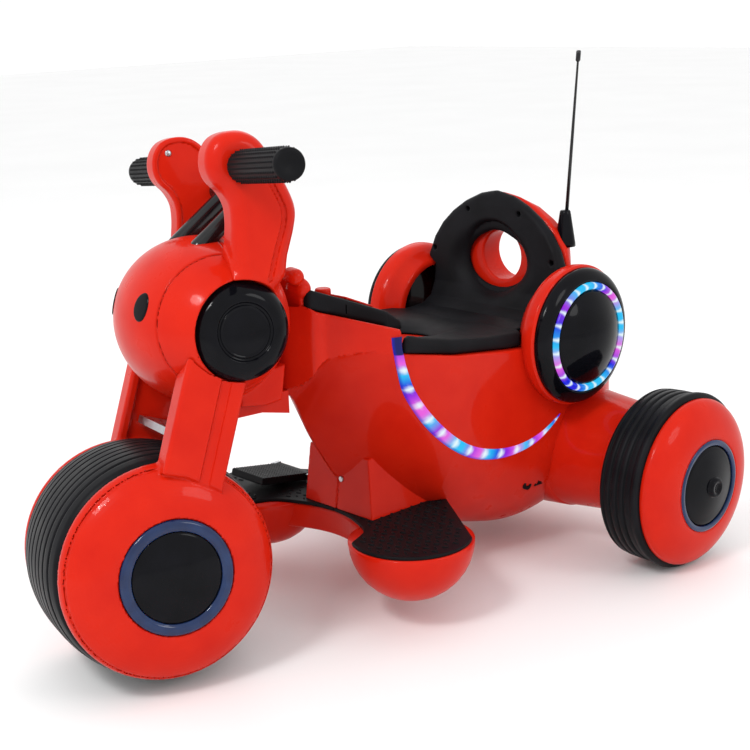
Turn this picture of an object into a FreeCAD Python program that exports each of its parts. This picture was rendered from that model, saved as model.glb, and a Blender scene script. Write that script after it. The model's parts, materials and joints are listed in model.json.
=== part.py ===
import FreeCAD, Part
import Sketcher
import math
import os
import re

# A child's battery ride-on trike: one steered front wheel under a round head, a boat-shaped
# body with a saddle, and two rear wheels. Millimetres. The front faces -Y, +X is the rider's
# left, +Z is up, and the origin is on the ground at the centre of the outer box.

doc = FreeCAD.newDocument("RideOnTrike")
V = FreeCAD.Vector

SIZES = {
    # steering axis, leaning back, and how far it is turned at rest
    "axis_foot_y": -270.0, "rake_angle": 20.0, "rest_turn": -18.5,
    # front wheel
    "front_y": -290.0, "front_z": 120.05, "front_radius": 118.0, "front_half": 68.0,
    "front_shoulder": 108.0, "rim_radius": 84.0, "axle_radius": 6.0, "hub_radius": 18.0,
    "bush_radius": 11.0, "running_gap": 0.05,
    # side covers of the front wheel
    "cover_edge_x": 71.5, "cover_edge_radius": 111.0, "cover_dome_x": 105.0, "cover_wall": 3.0,
    "ring_radius": 58.5, "ring_inner": 47.0, "cap_radius": 46.8,
    # head
    "head_y": -201.0, "head_z": 357.0, "head_half_width": 121.5, "head_radius": 87.4,
    "head_wall": 3.0, "seam_forward": 9.0, "seam_tilt": 17.0,
    "speaker_y": -192.0, "speaker_z": 351.0, "speaker_radius": 50.0, "speaker_face_x": 108.0,
    "cone_radius": 27.0, "lamp_x": 48.0, "lamp_z": 383.0, "lamp_half_width": 11.0,
    "lamp_half_height": 14.0, "lamp_proud": 1.2,
    # handles
    "grip_y": -177.0, "grip_z": 511.0, "grip_radius": 16.5, "grip_span": 233.0,
    "bar_radius": 11.0, "stalk_inner_x": 46.0, "stalk_thick": 44.0, "lobe_radius": 31.0,
    "brace_radius": 9.5, "elbow_x": 58.0, "brace_end_y": -181.0, "brace_end_z": 474.0,
    "brace_low_y": -195.0, "brace_low_z": 456.5, "bar_start_x": 50.0,
    # fork
    "leg_depth": 65.0, "leg_inner_x": 71.5, "leg_thick": 28.0, "crown_thick": 8.0, "leg_back": 33.0,
    "crown_width": 44.0, "crown_front": 36.0,
    "column_radius": 12.0, "head_tube_radius": 17.0,
    # rear wheels
    "rear_y": 302.0, "rear_radius": 106.3, "rear_inner_x": 204.0, "rear_outer_x": 262.0,
    "rear_rim_radius": 78.0, "disc_radius": 100.0, "disc_dome_x": 288.5, "rear_ring_radius": 55.4,
    "rear_ring_inner": 44.0,
    # body shell
    "body_wall": 3.0, "housing_y": 298.0, "housing_z": 120.0, "housing_big": 80.0,
    "housing_small": 66.0, "housing_end_x": 198.0, "housing_hole": 34.0,
    # saddle, backrest and side pods
    "back_y": 249.0, "back_top": 441.0, "back_half": 114.0,
    "hole_radius": 32.0, "hole_z": 355.0, "pod_y": 247.0, "pod_z": 276.5, "pod_radius": 84.5,
    "pod_outer_x": 138.0, "dome_radius": 81.5, "led_ring_outer": 65.5, "led_ring_inner": 56.5,
    "led_ring_x": 154.0,
    # foot deck
    "deck_top": 97.0, "mat_thick": 4.0, "foot_x": 130.0, "foot_y": -29.0, "foot_radius": 68.0,
    "bowl_bottom": 28.0, "bridge_bottom": 66.0, "pedestal_half": 65.0,
    # pedal
    "pedal_x": -124.0, "pedal_half": 30.0, "pedal_pivot_y": 12.0, "pedal_pivot_z": 107.0,
    "pedal_length": 74.0, "pedal_thick": 9.0, "pedal_tilt": 9.0,
    # the middle of the outer box, measured from the middle of the wheelbase's datum
    "box_shift": 4.75,
    # antenna
    "mast_x": 88.0, "mast_y": 283.0, "mast_z": 392.0, "mast_length": 215.0, "mast_radius": 2.2,
    "mast_lean": 6.7, "mast_start": 26.6, "knob_length": 12.0,
    # the screws that hold the pedestal to the body
    "body_screw_x": 50.0, "body_screw_z": 140.0, "body_screw_radius": 1.5,
}

# Stations of the body shell along Y: name, y, top z, half width, z where the side starts to
# round in, and bottom z.
STATIONS = (
    ("bow", -112, 268, 24, 262, 238),
    ("chin", -104, 276, 42, 268, 212),
    ("throat", -96, 284, 56, 276, 194),
    ("neck", -94, 354, 58, 300, 190),
    ("dash", -55, 340, 88, 306, 140),
    ("knee", -17, 327, 108, 300, 106),
    ("lip", -15, 300, 109, 290, 105),
    ("thigh", 60, 284, 117, 230, 74),
    ("hip", 150, 273, 119, 180, 36),
    ("keel", 220, 268, 118, 150, 20),
    ("tail", 290, 266, 110, 150, 26),
    ("stern", 345, 258, 100, 150, 46),
    ("heel", 384, 212, 80, 150, 76),
)

sheet = doc.addObject("Spreadsheet::Sheet", "Sizes")


def fill_sheet():
    """Write the driving dimensions and the body's stations, each under its own alias."""
    cells = dict(SIZES)
    for name, *numbers in STATIONS:
        for field, number in zip(("y", "top", "half", "side", "low"), numbers):
            cells[f"{name}_{field}"] = number
    for row, (alias, number) in enumerate(cells.items(), start=1):
        sheet.set(f"A{row}", alias)
        sheet.set(f"B{row}", str(number))
        sheet.setAlias(f"B{row}", alias)
    doc.recompute()


FUNCTIONS = ("sqrt", "sin", "cos", "tan")


def bind(formula):
    """Turn the plain names in a formula into references to the sheet."""
    def reference(match):
        word = match.group(0)
        return word if word in FUNCTIONS else "Sizes." + word
    return re.sub(r"[a-z][a-z_]+", reference, str(formula))


def size(formula):
    """The number that a formula of sheet names gives."""
    return float(sheet.evalExpression(bind(formula)))


def flip(side, formula):
    """A formula on the +X side, or its negative on the -X side."""
    return f"({formula})" if side > 0 else f"-({formula})"


# ---------------------------------------------------------------- sketches and features

def arc_edge(start, end, radius):
    """An arc from start to end; a positive radius bulges to the right of the way along."""
    middle = (start + end) * 0.5
    along = end - start
    reach = math.sqrt(max(radius * radius - (along.Length / 2) ** 2, 0.0))
    normal = V(-along.y, along.x, 0).normalize()
    centre = middle + normal * (reach if radius > 0 else -reach)
    circle = Part.Circle(centre, V(0, 0, 1), abs(radius))
    first = math.atan2(start.y - centre.y, start.x - centre.x)
    last = math.atan2(end.y - centre.y, end.x - centre.x)
    if radius > 0:
        return Part.ArcOfCircle(circle, first, last), (1, 2)
    return Part.ArcOfCircle(circle, last, first), (2, 1)


def draw_outline(sketch, corners):
    """Draw a closed outline whose corners, and the radius of an arc that leaves one, follow
    the sheet."""
    spots = [V(size(corner[0]), size(corner[1]), 0) for corner in corners]
    ends = []
    for index, corner in enumerate(corners):
        following = spots[(index + 1) % len(spots)]
        if len(corner) == 3:
            edge, order = arc_edge(spots[index], following, size(corner[2]))
        else:
            edge, order = Part.LineSegment(spots[index], following), (1, 2)
        sketch.addGeometry(edge, False)
        ends.append(order)
    for index, corner in enumerate(corners):
        following = (index + 1) % len(corners)
        joint = Sketcher.Constraint("Coincident", index, ends[index][1], following, ends[following][0])
        sketch.addConstraint(joint)
        for kind, formula in (("DistanceX", corner[0]), ("DistanceY", corner[1])):
            constraint = Sketcher.Constraint(kind, -1, 1, index, ends[index][0], size(formula))
            number = sketch.addConstraint(constraint)
            sketch.setExpression(f"Constraints[{number}]", bind(formula))
        if len(corner) == 3:
            number = sketch.addConstraint(Sketcher.Constraint("Radius", index, abs(size(corner[2]))))
            sketch.setExpression(f"Constraints[{number}]", f"abs({bind(corner[2])})")


def new_body(label):
    body = doc.addObject("PartDesign::Body", label)
    body.Label = label
    return body


def new_sketch(body, role, corners, start="0"):
    """A sketch on one of the body's origin planes, moved along the plane's normal by start."""
    plane = [item for item in body.Origin.OriginFeatures if item.Role == role][0]
    sketch = body.newObject("Sketcher::SketchObject", body.Name + "_sketch")
    sketch.AttachmentSupport = [(plane, "")]
    sketch.MapMode = "FlatFace"
    sketch.setExpression("AttachmentOffset.Base.z", bind(start))
    draw_outline(sketch, corners)
    return sketch


def pad(label, role, corners, length, start="0"):
    """A body of one outline padded along its plane's normal."""
    body = new_body(label)
    sketch = new_sketch(body, role, corners, start)
    feature = body.newObject("PartDesign::Pad", label + "_pad")
    feature.Profile = sketch
    feature.setExpression("Length", bind(length))
    return body


def revolve(label, corners, role="XY_Plane", about="H_Axis"):
    """A body turned from one outline; by default X runs along the axis and Y is the radius."""
    body = new_body(label)
    sketch = new_sketch(body, role, corners)
    feature = body.newObject("PartDesign::Revolution", label + "_turn")
    feature.Profile = sketch
    feature.ReferenceAxis = (sketch, [about])
    feature.Angle = 360
    return body


HALF_TURN = FreeCAD.Rotation(V(0, 0, 1), 180)


def turn_x(label, side, corners, centre):
    """A body turned about an X axis through centre; corners are (distance out, radius)."""
    body = revolve(label, corners)
    place(body, centre, HALF_TURN if side < 0 else None)
    return body


def place(item, spot, rotation=None):
    """Put an object at a spot whose coordinates follow the sheet."""
    for key, formula in zip("xyz", spot):
        item.setExpression(f"Placement.Base.{key}", bind(formula))
    if rotation:
        item.Placement = FreeCAD.Placement(item.Placement.Base, rotation)


def primitive(kind, name, spot, rotation=None, **formulas):
    """A Part primitive with its sizes and place bound to the sheet."""
    item = doc.addObject("Part::" + kind, name)
    for key, formula in formulas.items():
        item.setExpression(key, bind(formula))
    place(item, spot, rotation)
    return item


def box(name, low, high):
    """A box between two corners given as formulas."""
    spans = [f"({top}) - ({bottom})" for bottom, top in zip(low, high)]
    return primitive("Box", name, low, Length=spans[0], Width=spans[1], Height=spans[2])


ALONG_X = FreeCAD.Rotation(V(0, 1, 0), 90)
ALONG_Y = FreeCAD.Rotation(V(1, 0, 0), -90)


def rod_x(name, radius, low, high, y_at, z_at):
    """A cylinder along X from low to high."""
    return primitive("Cylinder", name, (low, y_at, z_at), ALONG_X, Radius=radius,
                     Height=f"({high}) - ({low})")


def cut(label, base, *tools):
    """The base with every tool cut away."""
    tool = tools[0] if len(tools) == 1 else fuse(label + "_tools", *tools)
    item = doc.addObject("Part::Cut", label)
    item.Base = base
    item.Tool = tool
    item.Label = label
    return item


def fuse(label, *shapes):
    item = doc.addObject("Part::MultiFuse", label)
    item.Shapes = list(shapes)
    item.Label = label
    return item


def common(label, *shapes):
    item = doc.addObject("Part::MultiCommon", label)
    item.Shapes = list(shapes)
    item.Label = label
    return item


def group(label, *shapes):
    """Separate solids that share one node."""
    item = doc.addObject("Part::Compound", label)
    item.Links = list(shapes)
    item.Label = label
    return item


nodes = []
steering_fasteners = []


def keep(item):
    """Count an object as a finished sub-part."""
    nodes.append(item)
    return item


# ---------------------------------------------------------------- steering

def along_axis(distance):
    """The row position of a point on the steering axis, distance up from its foot."""
    return ("0", f"axis_foot_y + ({distance}) * sin(rake_angle)",
            f"front_z + ({distance}) * cos(rake_angle)")


def rake():
    return FreeCAD.Rotation(V(1, 0, 0), -size("rake_angle"))


def axis_rod(name, radius, low, high):
    """A cylinder on the steering axis between two distances from its foot."""
    item = doc.addObject("Part::Cylinder", name)
    item.setExpression("Radius", bind(radius))
    item.setExpression("Height", bind(f"({high}) - ({low})"))
    item.Placement = FreeCAD.Placement(V(*[size(part) for part in along_axis(low)]), rake())
    return item


def steered(item):
    """Turn a finished piece of the straight-ahead assembly to its resting angle."""
    turn = size("rest_turn")
    foot = V(0, size("axis_foot_y"), size("front_z"))
    direction = rake().multVec(V(0, 0, 1))
    rest = FreeCAD.Placement(V(), FreeCAD.Rotation(direction, turn), foot)
    item.Placement = rest.multiply(item.Placement)
    return keep(item)


def head_ellipsoid(name, extra):
    return primitive("Ellipsoid", name, ("0", "head_y", "head_z"), ALONG_X,
                     Radius1=f"head_half_width + ({extra})", Radius2=f"head_radius + ({extra})")


def head_shells():
    """Front and rear halves of the hollow head, split on a plane that leans with the fork."""
    bores = [rod_x(f"ear_bore_{name}", "speaker_radius + 0.3", low, high, "speaker_y", "speaker_z")
             for name, low, high in (("left", "60", "140"), ("right", "-140", "-60"))]
    column = axis_rod("column_bore", "head_tube_radius + 4", "140", "250")
    inner = head_ellipsoid("head_inside", "0 - head_wall")
    wall = cut("head_wall_solid", head_ellipsoid("head_outside", "0"), inner, column, *bores)
    reach = 300
    seam_gap = 0.1
    tilt = FreeCAD.Rotation(V(1, 0, 0), -size("seam_tilt"))
    seam = V(0, size("head_y - seam_forward"), size("head_z"))
    for label, start in (("head_front_shell", -reach), ("head_rear_shell", seam_gap)):
        half = doc.addObject("Part::Box", label + "_half")
        half.Length = reach
        half.Width = reach
        half.Height = reach
        corner = V(-reach / 2, start, -reach / 2)
        half.Placement = FreeCAD.Placement(seam + tilt.multVec(corner), tilt)
        steered(common(label, wall, half))


def lamps():
    """Two plain oval lenses that lie on the front shell."""
    skin = cut("lamp_skin", head_ellipsoid("lamp_outside", "lamp_proud"), head_ellipsoid("lamp_inside", "0.1"))
    ovals = []
    for name, side in (("left", 1), ("right", -1)):
        oval = doc.addObject("Part::Ellipse", "lamp_oval_" + name)
        oval.setExpression("MajorRadius", bind("lamp_half_height"))
        oval.setExpression("MinorRadius", bind("lamp_half_width"))
        upright = FreeCAD.Rotation(V(0, 0, 1), V(1, 0, 0), V(0, 1, 0), "ZXY")
        oval.Placement = FreeCAD.Placement(V(side * size("lamp_x"), -330, size("lamp_z")), upright)
        bar = doc.addObject("Part::Extrusion", "lamp_bar_" + name)
        bar.Base = oval
        bar.DirMode = "Custom"
        bar.Dir = V(0, 1, 0)
        bar.LengthFwd = 120
        bar.Solid = True
        ovals.append(common("lamp_lens_" + name, skin, bar))
    steered(group("lamp_lenses", *ovals))


def speakers():
    """Round black bezels in the sides of the head, each with a recessed cone."""
    centre = ("0", "speaker_y", "speaker_z")
    bezels = []
    cones = []
    for name, side in (("left", 1), ("right", -1)):
        bezel = [("88", "cone_radius + 0.1"), ("88", "speaker_radius"), ("99", "speaker_radius"),
                 ("speaker_face_x", "speaker_radius - 12"), ("speaker_face_x", "cone_radius + 3"),
                 ("speaker_face_x - 2", "cone_radius + 0.1")]
        cone = [("64", "0"), ("64", "18"), ("88", "cone_radius"), ("speaker_face_x - 3", "cone_radius"),
                ("speaker_face_x - 2", "0")]
        bezels.append(turn_x(f"bezel_turned_{name}", side, bezel, centre))
        cones.append(turn_x(f"cone_turned_{name}", side, cone, centre))
    steered(group("speaker_bezels", *bezels))
    steered(group("speaker_cones", *cones))


def stalks():
    """Curved handle stalks that rise from the head to the grip axis."""
    outline = [("-183", "438"), ("-178", "455"), ("-181", "472"), ("-198", "502"),
               ("-200", "514", "0 - lobe_radius"), ("-145", "530"), ("-123", "487"), ("-118", "466"),
               ("-119", "450"), ("-126", "427"), ("-141", "402"), ("-172", "394")]
    for name, side in (("left", 1), ("right", -1)):
        start = "stalk_inner_x" if side > 0 else "0 - stalk_inner_x - stalk_thick"
        blank = pad(f"stalk_blank_{name}", "YZ_Plane", outline, "stalk_thick", start)
        bore = rod_x(f"stalk_bore_{name}", "bar_radius + running_gap", f"{start} - 10",
                     f"{start} + stalk_thick + 10", "grip_y", "grip_z")
        brace = brace_tube(f"brace_bore_{name}", "brace_radius + running_gap", "bar_radius + running_gap")
        screw_hole = rod_x(f"stalk_screw_hole_{name}", "1.5", f"{start} - 1", f"{start} + stalk_thick + 1",
                           "grip_y - 20", "grip_z + 14")
        steered(cut(f"handle_stalk_{name}", blank, bore, brace, screw_hole,
                    head_ellipsoid(f"stalk_seat_{name}", "0.2")))
        shank = rod_x(f"stalk_shank_{name}", "1.5", f"{start}", f"{start} + stalk_thick", "grip_y - 20",
                      "grip_z + 14")
        face = "stalk_inner_x" if side > 0 else "0 - stalk_inner_x"
        low, high = (f"{face} - 2", face) if side > 0 else (face, f"{face} + 2")
        head = rod_x(f"stalk_screw_head_{name}", "4", low, high, "grip_y - 20", "grip_z + 14")
        steering_fasteners.append(fuse(f"stalk_screw_{name}", shank, head))


def straight_tube(name, radius, start, end):
    """A round bar between two points, with a ball at its start to round the bend there."""
    bar = doc.addObject("Part::Cylinder", name)
    bar.setExpression("Radius", bind(radius))
    bar.Height = (end - start).Length
    bar.Placement = FreeCAD.Placement(start, FreeCAD.Rotation(V(0, 0, 1), end - start))
    ball = doc.addObject("Part::Sphere", name + "_bend")
    ball.setExpression("Radius", bind(radius))
    ball.Placement.Base = start
    return [bar, ball]


def brace_tube(name, radius, bar_radius):
    """One bent tube: a shallow V above the head that rises inside each stalk and turns out to
    carry a grip."""
    low = V(0, size("brace_low_y"), size("brace_low_z"))
    pieces = []
    for label, side in (("left", 1), ("right", -1)):
        bend = V(side * size("elbow_x"), size("brace_end_y"), size("brace_end_z"))
        elbow = V(side * size("elbow_x"), size("grip_y"), size("grip_z"))
        pieces += straight_tube(f"{name}_v_{label}", radius, low, bend)
        pieces += straight_tube(f"{name}_rise_{label}", radius, bend, elbow)
        low_x, high_x = ("bar_start_x", "grip_span - 10") if side > 0 else ("10 - grip_span", "0 - bar_start_x")
        pieces.append(rod_x(f"{name}_end_{label}", bar_radius, low_x, high_x, "grip_y", "grip_z"))
    return fuse(name, *pieces)


def handlebar():
    """The bent steel handlebar and the two grips on its ends."""
    steered(group("handlebar_tubes", brace_tube("handlebar_bar", "brace_radius", "bar_radius")))
    grip = [("stalk_inner_x + stalk_thick + 0.5", "bar_radius + running_gap"),
            ("stalk_inner_x + stalk_thick + 0.5", "grip_radius"), ("grip_span - 3", "grip_radius"),
            ("grip_span", "grip_radius - 3"), ("grip_span", "0"), ("grip_span - 9.9", "0"),
            ("grip_span - 9.9", "bar_radius + running_gap")]
    for name, side in (("left", 1), ("right", -1)):
        turned = turn_x(f"grip_turned_{name}", side, grip, ("0", "grip_y", "grip_z"))
        steered(group(f"grip_{name}", turned))


def fork():
    """The crown over the tyre with the steering column welded to it."""
    crown = doc.addObject("Part::Box", "crown_plate")
    crown.setExpression("Length", bind("2 * leg_inner_x - 0.2"))
    crown.setExpression("Width", bind("crown_width"))
    crown.setExpression("Height", bind("crown_thick"))
    low = V(*[size(part) for part in along_axis("122")])
    corner = V(0.1 - size("leg_inner_x"), -size("crown_front"), 0)
    crown.Placement = FreeCAD.Placement(low + rake().multVec(corner), rake())
    steered(fuse("steering_column", crown, axis_rod("column_rod", "column_radius", "119", "312")))


def front_wheel():
    """Ribbed tyre on a spool-shaped rim that turns on a fixed axle, inside two domed covers."""
    centre = ("0", "front_y", "front_z")
    tyre = [("0 - front_half", "rim_radius"), ("0 - front_half", "front_shoulder - 8"),
            ("9 - front_half", "front_shoulder + 2"), ("-36", "front_radius - 1.6"),
            ("0", "front_radius"), ("36", "front_radius - 1.6"), ("front_half - 9", "front_shoulder + 2"),
            ("front_half", "front_shoulder - 8"), ("front_half", "rim_radius"),
            ("front_half - 7", "rim_radius"), ("front_half - 7", "front_shoulder - 10"), ("34", "front_radius - 9"),
            ("-34", "front_radius - 9"), ("7 - front_half", "front_shoulder - 10"), ("7 - front_half", "rim_radius")]
    steered(group("front_tyre", turn_x("front_tyre_turned", 1, tyre, centre)))
    rim = [("1 - front_half", "bush_radius"), ("1 - front_half", "hub_radius"), ("-6", "hub_radius + 2"),
           ("-6", "rim_radius - 5"), ("2 - front_half", "rim_radius - 5"), ("2 - front_half", "rim_radius"),
           ("front_half - 2", "rim_radius"), ("front_half - 2", "rim_radius - 5"), ("6", "rim_radius - 5"),
           ("6", "hub_radius + 2"), ("front_half - 1", "hub_radius"), ("front_half - 1", "bush_radius")]
    steered(group("front_rim", turn_x("front_rim_turned", 1, rim, centre)))
    bush = [("front_half - 16", "axle_radius + running_gap"), ("front_half - 16", "bush_radius"),
            ("front_half - 1", "bush_radius"), ("front_half - 1", "axle_radius + running_gap")]
    bushes = [turn_x(f"front_bush_{name}", side, bush, centre) for name, side in (("l", 1), ("r", -1))]
    steered(group("front_bushes", *bushes))
    steered(group("front_axle", rod_x("front_axle_rod", "axle_radius", "-101", "101", "front_y", "front_z")))


def fork_leg(name, side):
    """A blank of one fork leg, shaped to the head above and to the cover's dome below."""
    blank = doc.addObject("Part::Box", f"leg_blank_{name}")
    blank.setExpression("Length", bind("leg_thick"))
    blank.setExpression("Width", bind("leg_depth"))
    blank.Height = 160
    inner = size("leg_inner_x") if side > 0 else -size("leg_inner_x + leg_thick")
    foot = V(inner, size("axis_foot_y + leg_back - leg_depth"), size("front_z + 70"))
    blank.Placement = FreeCAD.Placement(foot, rake())
    dome = [("60", "0"), ("60", "cover_edge_radius - 1"), ("cover_edge_x + 4.5", "cover_edge_radius - 1", "-59"),
            ("cover_dome_x - 1", "ring_radius"), ("cover_dome_x - 1", "0")]
    inside = turn_x(f"leg_dome_{name}", side, dome, ("0", "front_y", "front_z"))
    low, high = ("60", "140") if side > 0 else ("-140", "-60")
    bezel = rod_x(f"leg_bezel_{name}", "speaker_radius + 0.4", low, high, "speaker_y", "speaker_z")
    return cut(f"leg_shaped_{name}", blank, inside, bezel, head_ellipsoid(f"leg_head_{name}", "0.3"))


def front_covers():
    """Fork legs that end in domed side covers, with a ring, a cap and an axle nut on each side."""
    centre = ("0", "front_y", "front_z")
    cover = [("cover_edge_x", "cover_edge_radius - cover_wall"), ("cover_edge_x", "cover_edge_radius"),
             ("cover_edge_x + 5", "cover_edge_radius", "-60"), ("cover_dome_x", "ring_radius + 0.2"),
             ("cover_dome_x - 8", "ring_radius + 0.2"), ("cover_dome_x - 8", "axle_radius + running_gap"),
             ("cover_edge_x", "axle_radius + running_gap"), ("cover_edge_x", "hub_radius - 4"),
             ("cover_dome_x - 11", "hub_radius - 4"), ("cover_dome_x - 11", "ring_radius"),
             ("cover_dome_x - 6", "ring_radius + 5", "57"),
             ("cover_edge_x + 4", "cover_edge_radius - cover_wall")]
    ring = [("cover_dome_x - 7.9", "ring_inner"), ("cover_dome_x - 7.9", "ring_radius"),
            ("cover_dome_x + 0.5", "ring_radius"), ("cover_dome_x + 2", "ring_radius - 3"),
            ("cover_dome_x + 2", "ring_inner")]
    cap = [("cover_dome_x - 7.9", "axle_radius + 8"), ("cover_dome_x - 7.9", "cap_radius"),
           ("cover_dome_x + 1", "cap_radius", "-200"), ("cover_dome_x + 6", "0"),
           ("cover_dome_x - 1", "0"), ("cover_dome_x - 1", "axle_radius + 8")]
    nut = [("cover_dome_x - 7.9", "axle_radius + running_gap"), ("cover_dome_x - 7.9", "axle_radius + 5"),
           ("cover_dome_x - 3", "axle_radius + 5"), ("cover_dome_x - 3", "axle_radius + running_gap")]
    rings = []
    caps = []
    steering_fasteners.append(cut("column_nut", axis_rod("nut_body", "18", "232", "241"),
                                  axis_rod("nut_bore", "column_radius + running_gap", "230", "243")))
    for name, side in (("left", 1), ("right", -1)):
        turned = turn_x(f"front_cover_turned_{name}", side, cover, centre)
        steered(fuse(f"fork_cover_{name}", turned, fork_leg(name, side)))
        rings.append(turn_x(f"front_ring_{name}", side, ring, centre))
        caps.append(turn_x(f"front_cap_{name}", side, cap, centre))
        steering_fasteners.append(turn_x(f"front_nut_{name}", side, nut, centre))
    steered(group("front_hub_rings", *rings))
    steered(group("front_hub_caps", *caps))
    steered(group("steering_fasteners", *steering_fasteners))


# ---------------------------------------------------------------- body

def section(name, extra, shift):
    """The same cross-section as a closed wire of one line, two sides and a bottom curve."""
    fields = ("y", "top", "half", "side", "low")
    y_at, top, half, side, low = (size(f"{name}_{field}") for field in fields)
    half += extra
    low -= extra
    top += shift
    curve = [V(half * math.cos(math.pi * step / 16), y_at, side - (side - low) * math.sin(math.pi * step / 16))
             for step in range(17)]
    bottom = Part.BSplineCurve()
    bottom.interpolate(curve)
    corners = [V(-half, y_at, side), V(-half, y_at, top), V(half, y_at, top), V(half, y_at, side)]
    sides = [Part.LineSegment(first, last).toShape() for first, last in zip(corners, corners[1:])]
    return Part.Wire(sides + [bottom.toShape()])


def body_solid(label, extra, shift=0.0):
    """The body's outer form, grown or shrunk by extra, with its flat top moved by shift."""
    wires = [section(name, extra, shift) for name, *_ in STATIONS]
    item = doc.addObject("Part::Feature", label)
    item.Shape = Part.makeLoft(wires, True, True)
    return item


def hull():
    """The hollow body shell in two moulded halves, open where wheels, pods and fittings enter."""
    outer = body_solid("hull_outside", 0.0)
    inner = body_solid("hull_inside", -size("body_wall"), -size("body_wall"))
    axle = rod_x("hull_axle_bore", "46", "-140", "140", "housing_y", "housing_z")
    socket = rod_x("hull_socket_bore", "7.2", "90", "130", "190", "96")
    switch = box("hull_switch_bore", ("90", "202.8", "89.8"), ("130", "217.2", "102.2"))
    wall = cut("hull_wall", outer, inner, axle, socket, switch, *body_screw_rods("hull_screw_hole", "30"))
    for label, low in (("body_shell_left", 0.0), ("body_shell_right", -200.0)):
        half = doc.addObject("Part::Box", label + "_half")
        half.Length, half.Width, half.Height = 200, 700, 500
        half.Placement.Base = V(low, -300, -50)
        keep(common(label, wall, half))
    return outer


def body_screw_rods(name, length):
    """The two screws of the pedestal, or the holes for them, pointing back into the body."""
    rods = []
    for label, side in (("left", 1), ("right", -1)):
        spot = (flip(side, "body_screw_x"), "-40", "body_screw_z")
        rods.append(primitive("Cylinder", f"{name}_{label}", spot, ALONG_Y, Radius="body_screw_radius",
                              Height=length))
    return rods


def neck():
    """The arm with its head tube that carries the steering, and the red cover behind the head."""
    arm = pad("neck_arm_blank", "YZ_Plane",
              [("-226", "266"), ("-226", "252"), ("-150", "249"), ("-112.3", "240"), ("-112.3", "266")],
              "52", "-26")
    whole = fuse("neck_arm_whole", cut("neck_arm_shaped", arm, body_solid("neck_arm_hull", 0.2, 0.2)),
                 axis_rod("head_tube_outer", "head_tube_radius", "130.2", "231.8"))
    trim = axis_rod("head_tube_foot", "60", "100", "130.2")
    keep(cut("neck_arm", whole, trim, axis_rod("head_tube_inner", "column_radius + running_gap", "100", "240")))
    plate = pad("neck_cover_blank", "YZ_Plane",
                [("-99.6", "285"), ("-94.3", "285"), ("-94.3", "380"), ("-97", "383"), ("-99.6", "380")],
                "84", "-42")
    keep(cut("neck_cover", plate, body_solid("neck_cover_hull", 0.2, 0.2)))


def dashboard():
    """Black console on the sloping nose of the body, with two sprung buttons and a key switch."""
    side_view = pad("console_side", "YZ_Plane",
                    [("-94", "354.2"), ("-55", "340.2"), ("-17", "327.2"), ("-15.5", "323"), ("12", "318"),
                     ("8", "334"), ("-10", "342"), ("-55", "358"), ("-94", "372")], "160", "-80")
    plan = pad("console_plan", "XY_Plane",
               [("-50", "-94"), ("50", "-94"), ("78", "-10"), ("70", "12"), ("-70", "12"), ("-78", "-10")],
               "100", "300")
    blank = common("console_blank", side_view, plan)
    crown = pad("console_crown", "YZ_Plane",
                [("-94", "371"), ("-55", "357"), ("-12", "341.4"), ("-16", "349"), ("-90", "378")], "90", "-45")
    bores = [primitive("Cylinder", f"button_bore_{name}", (x_at, "-55", "320"), Radius="9.05", Height="60")
             for name, x_at in (("left", "24"), ("right", "-24"))]
    whole = fuse("console_whole", blank, crown)
    keep(cut("console", whole, *bores))
    for name, x_at in (("left", "24"), ("right", "-24")):
        stem = primitive("Cylinder", f"sound_button_stem_{name}", (x_at, "-55", "346"), Radius="9",
                         Height="25")
        keep(group(f"sound_button_{name}", stem))


def pods():
    """Round side pods with black domes and LED rings either side of the backrest."""
    hull_skin = body_solid("pod_hull", 0.2, 0.2)
    centre = ("0", "pod_y", "pod_z")
    housing = [("96", "0"), ("96", "pod_radius - 22"), ("109", "pod_radius - 13"), ("119", "pod_radius - 3"),
               ("pod_outer_x - 11", "pod_radius"), ("pod_outer_x", "pod_radius"),
               ("pod_outer_x", "pod_radius - 4"), ("120", "pod_radius - 8"), ("100", "pod_radius - 26"),
               ("100", "0")]
    dome = [("pod_outer_x + 0.1", "dome_radius"),
            ("pod_outer_x + 5", "dome_radius", "-40"), ("led_ring_x - 5", "led_ring_outer + 0.2"),
            ("led_ring_x - 5", "led_ring_inner - 0.2"), ("led_ring_x + 2", "led_ring_inner - 0.2", "-110"),
            ("led_ring_x + 19", "0"), ("led_ring_x + 15", "0"), ("led_ring_x - 9", "led_ring_inner - 4"),
            ("pod_outer_x + 4", "dome_radius - 5"), ("pod_outer_x + 0.1", "dome_radius - 5")]
    ring = [("led_ring_x - 4.9", "led_ring_inner"), ("led_ring_x - 4.9", "led_ring_outer"),
            ("led_ring_x + 1", "led_ring_outer"), ("led_ring_x + 4", "led_ring_outer - 3"),
            ("led_ring_x + 4", "led_ring_inner + 2"), ("led_ring_x + 2", "led_ring_inner")]
    housings = []
    domes = []
    rings = []
    for name, side in (("left", 1), ("right", -1)):
        blank = turn_x(f"pod_turned_{name}", side, housing, centre)
        housings.append(cut(f"pod_housing_{name}", blank, hull_skin))
        domes.append(turn_x(f"dome_turned_{name}", side, dome, centre))
        rings.append(turn_x(f"led_turned_{name}", side, ring, centre))
    keep(group("pod_housings", *housings))
    keep(group("pod_domes", *domes))
    keep(group("led_rings", *rings))


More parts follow.
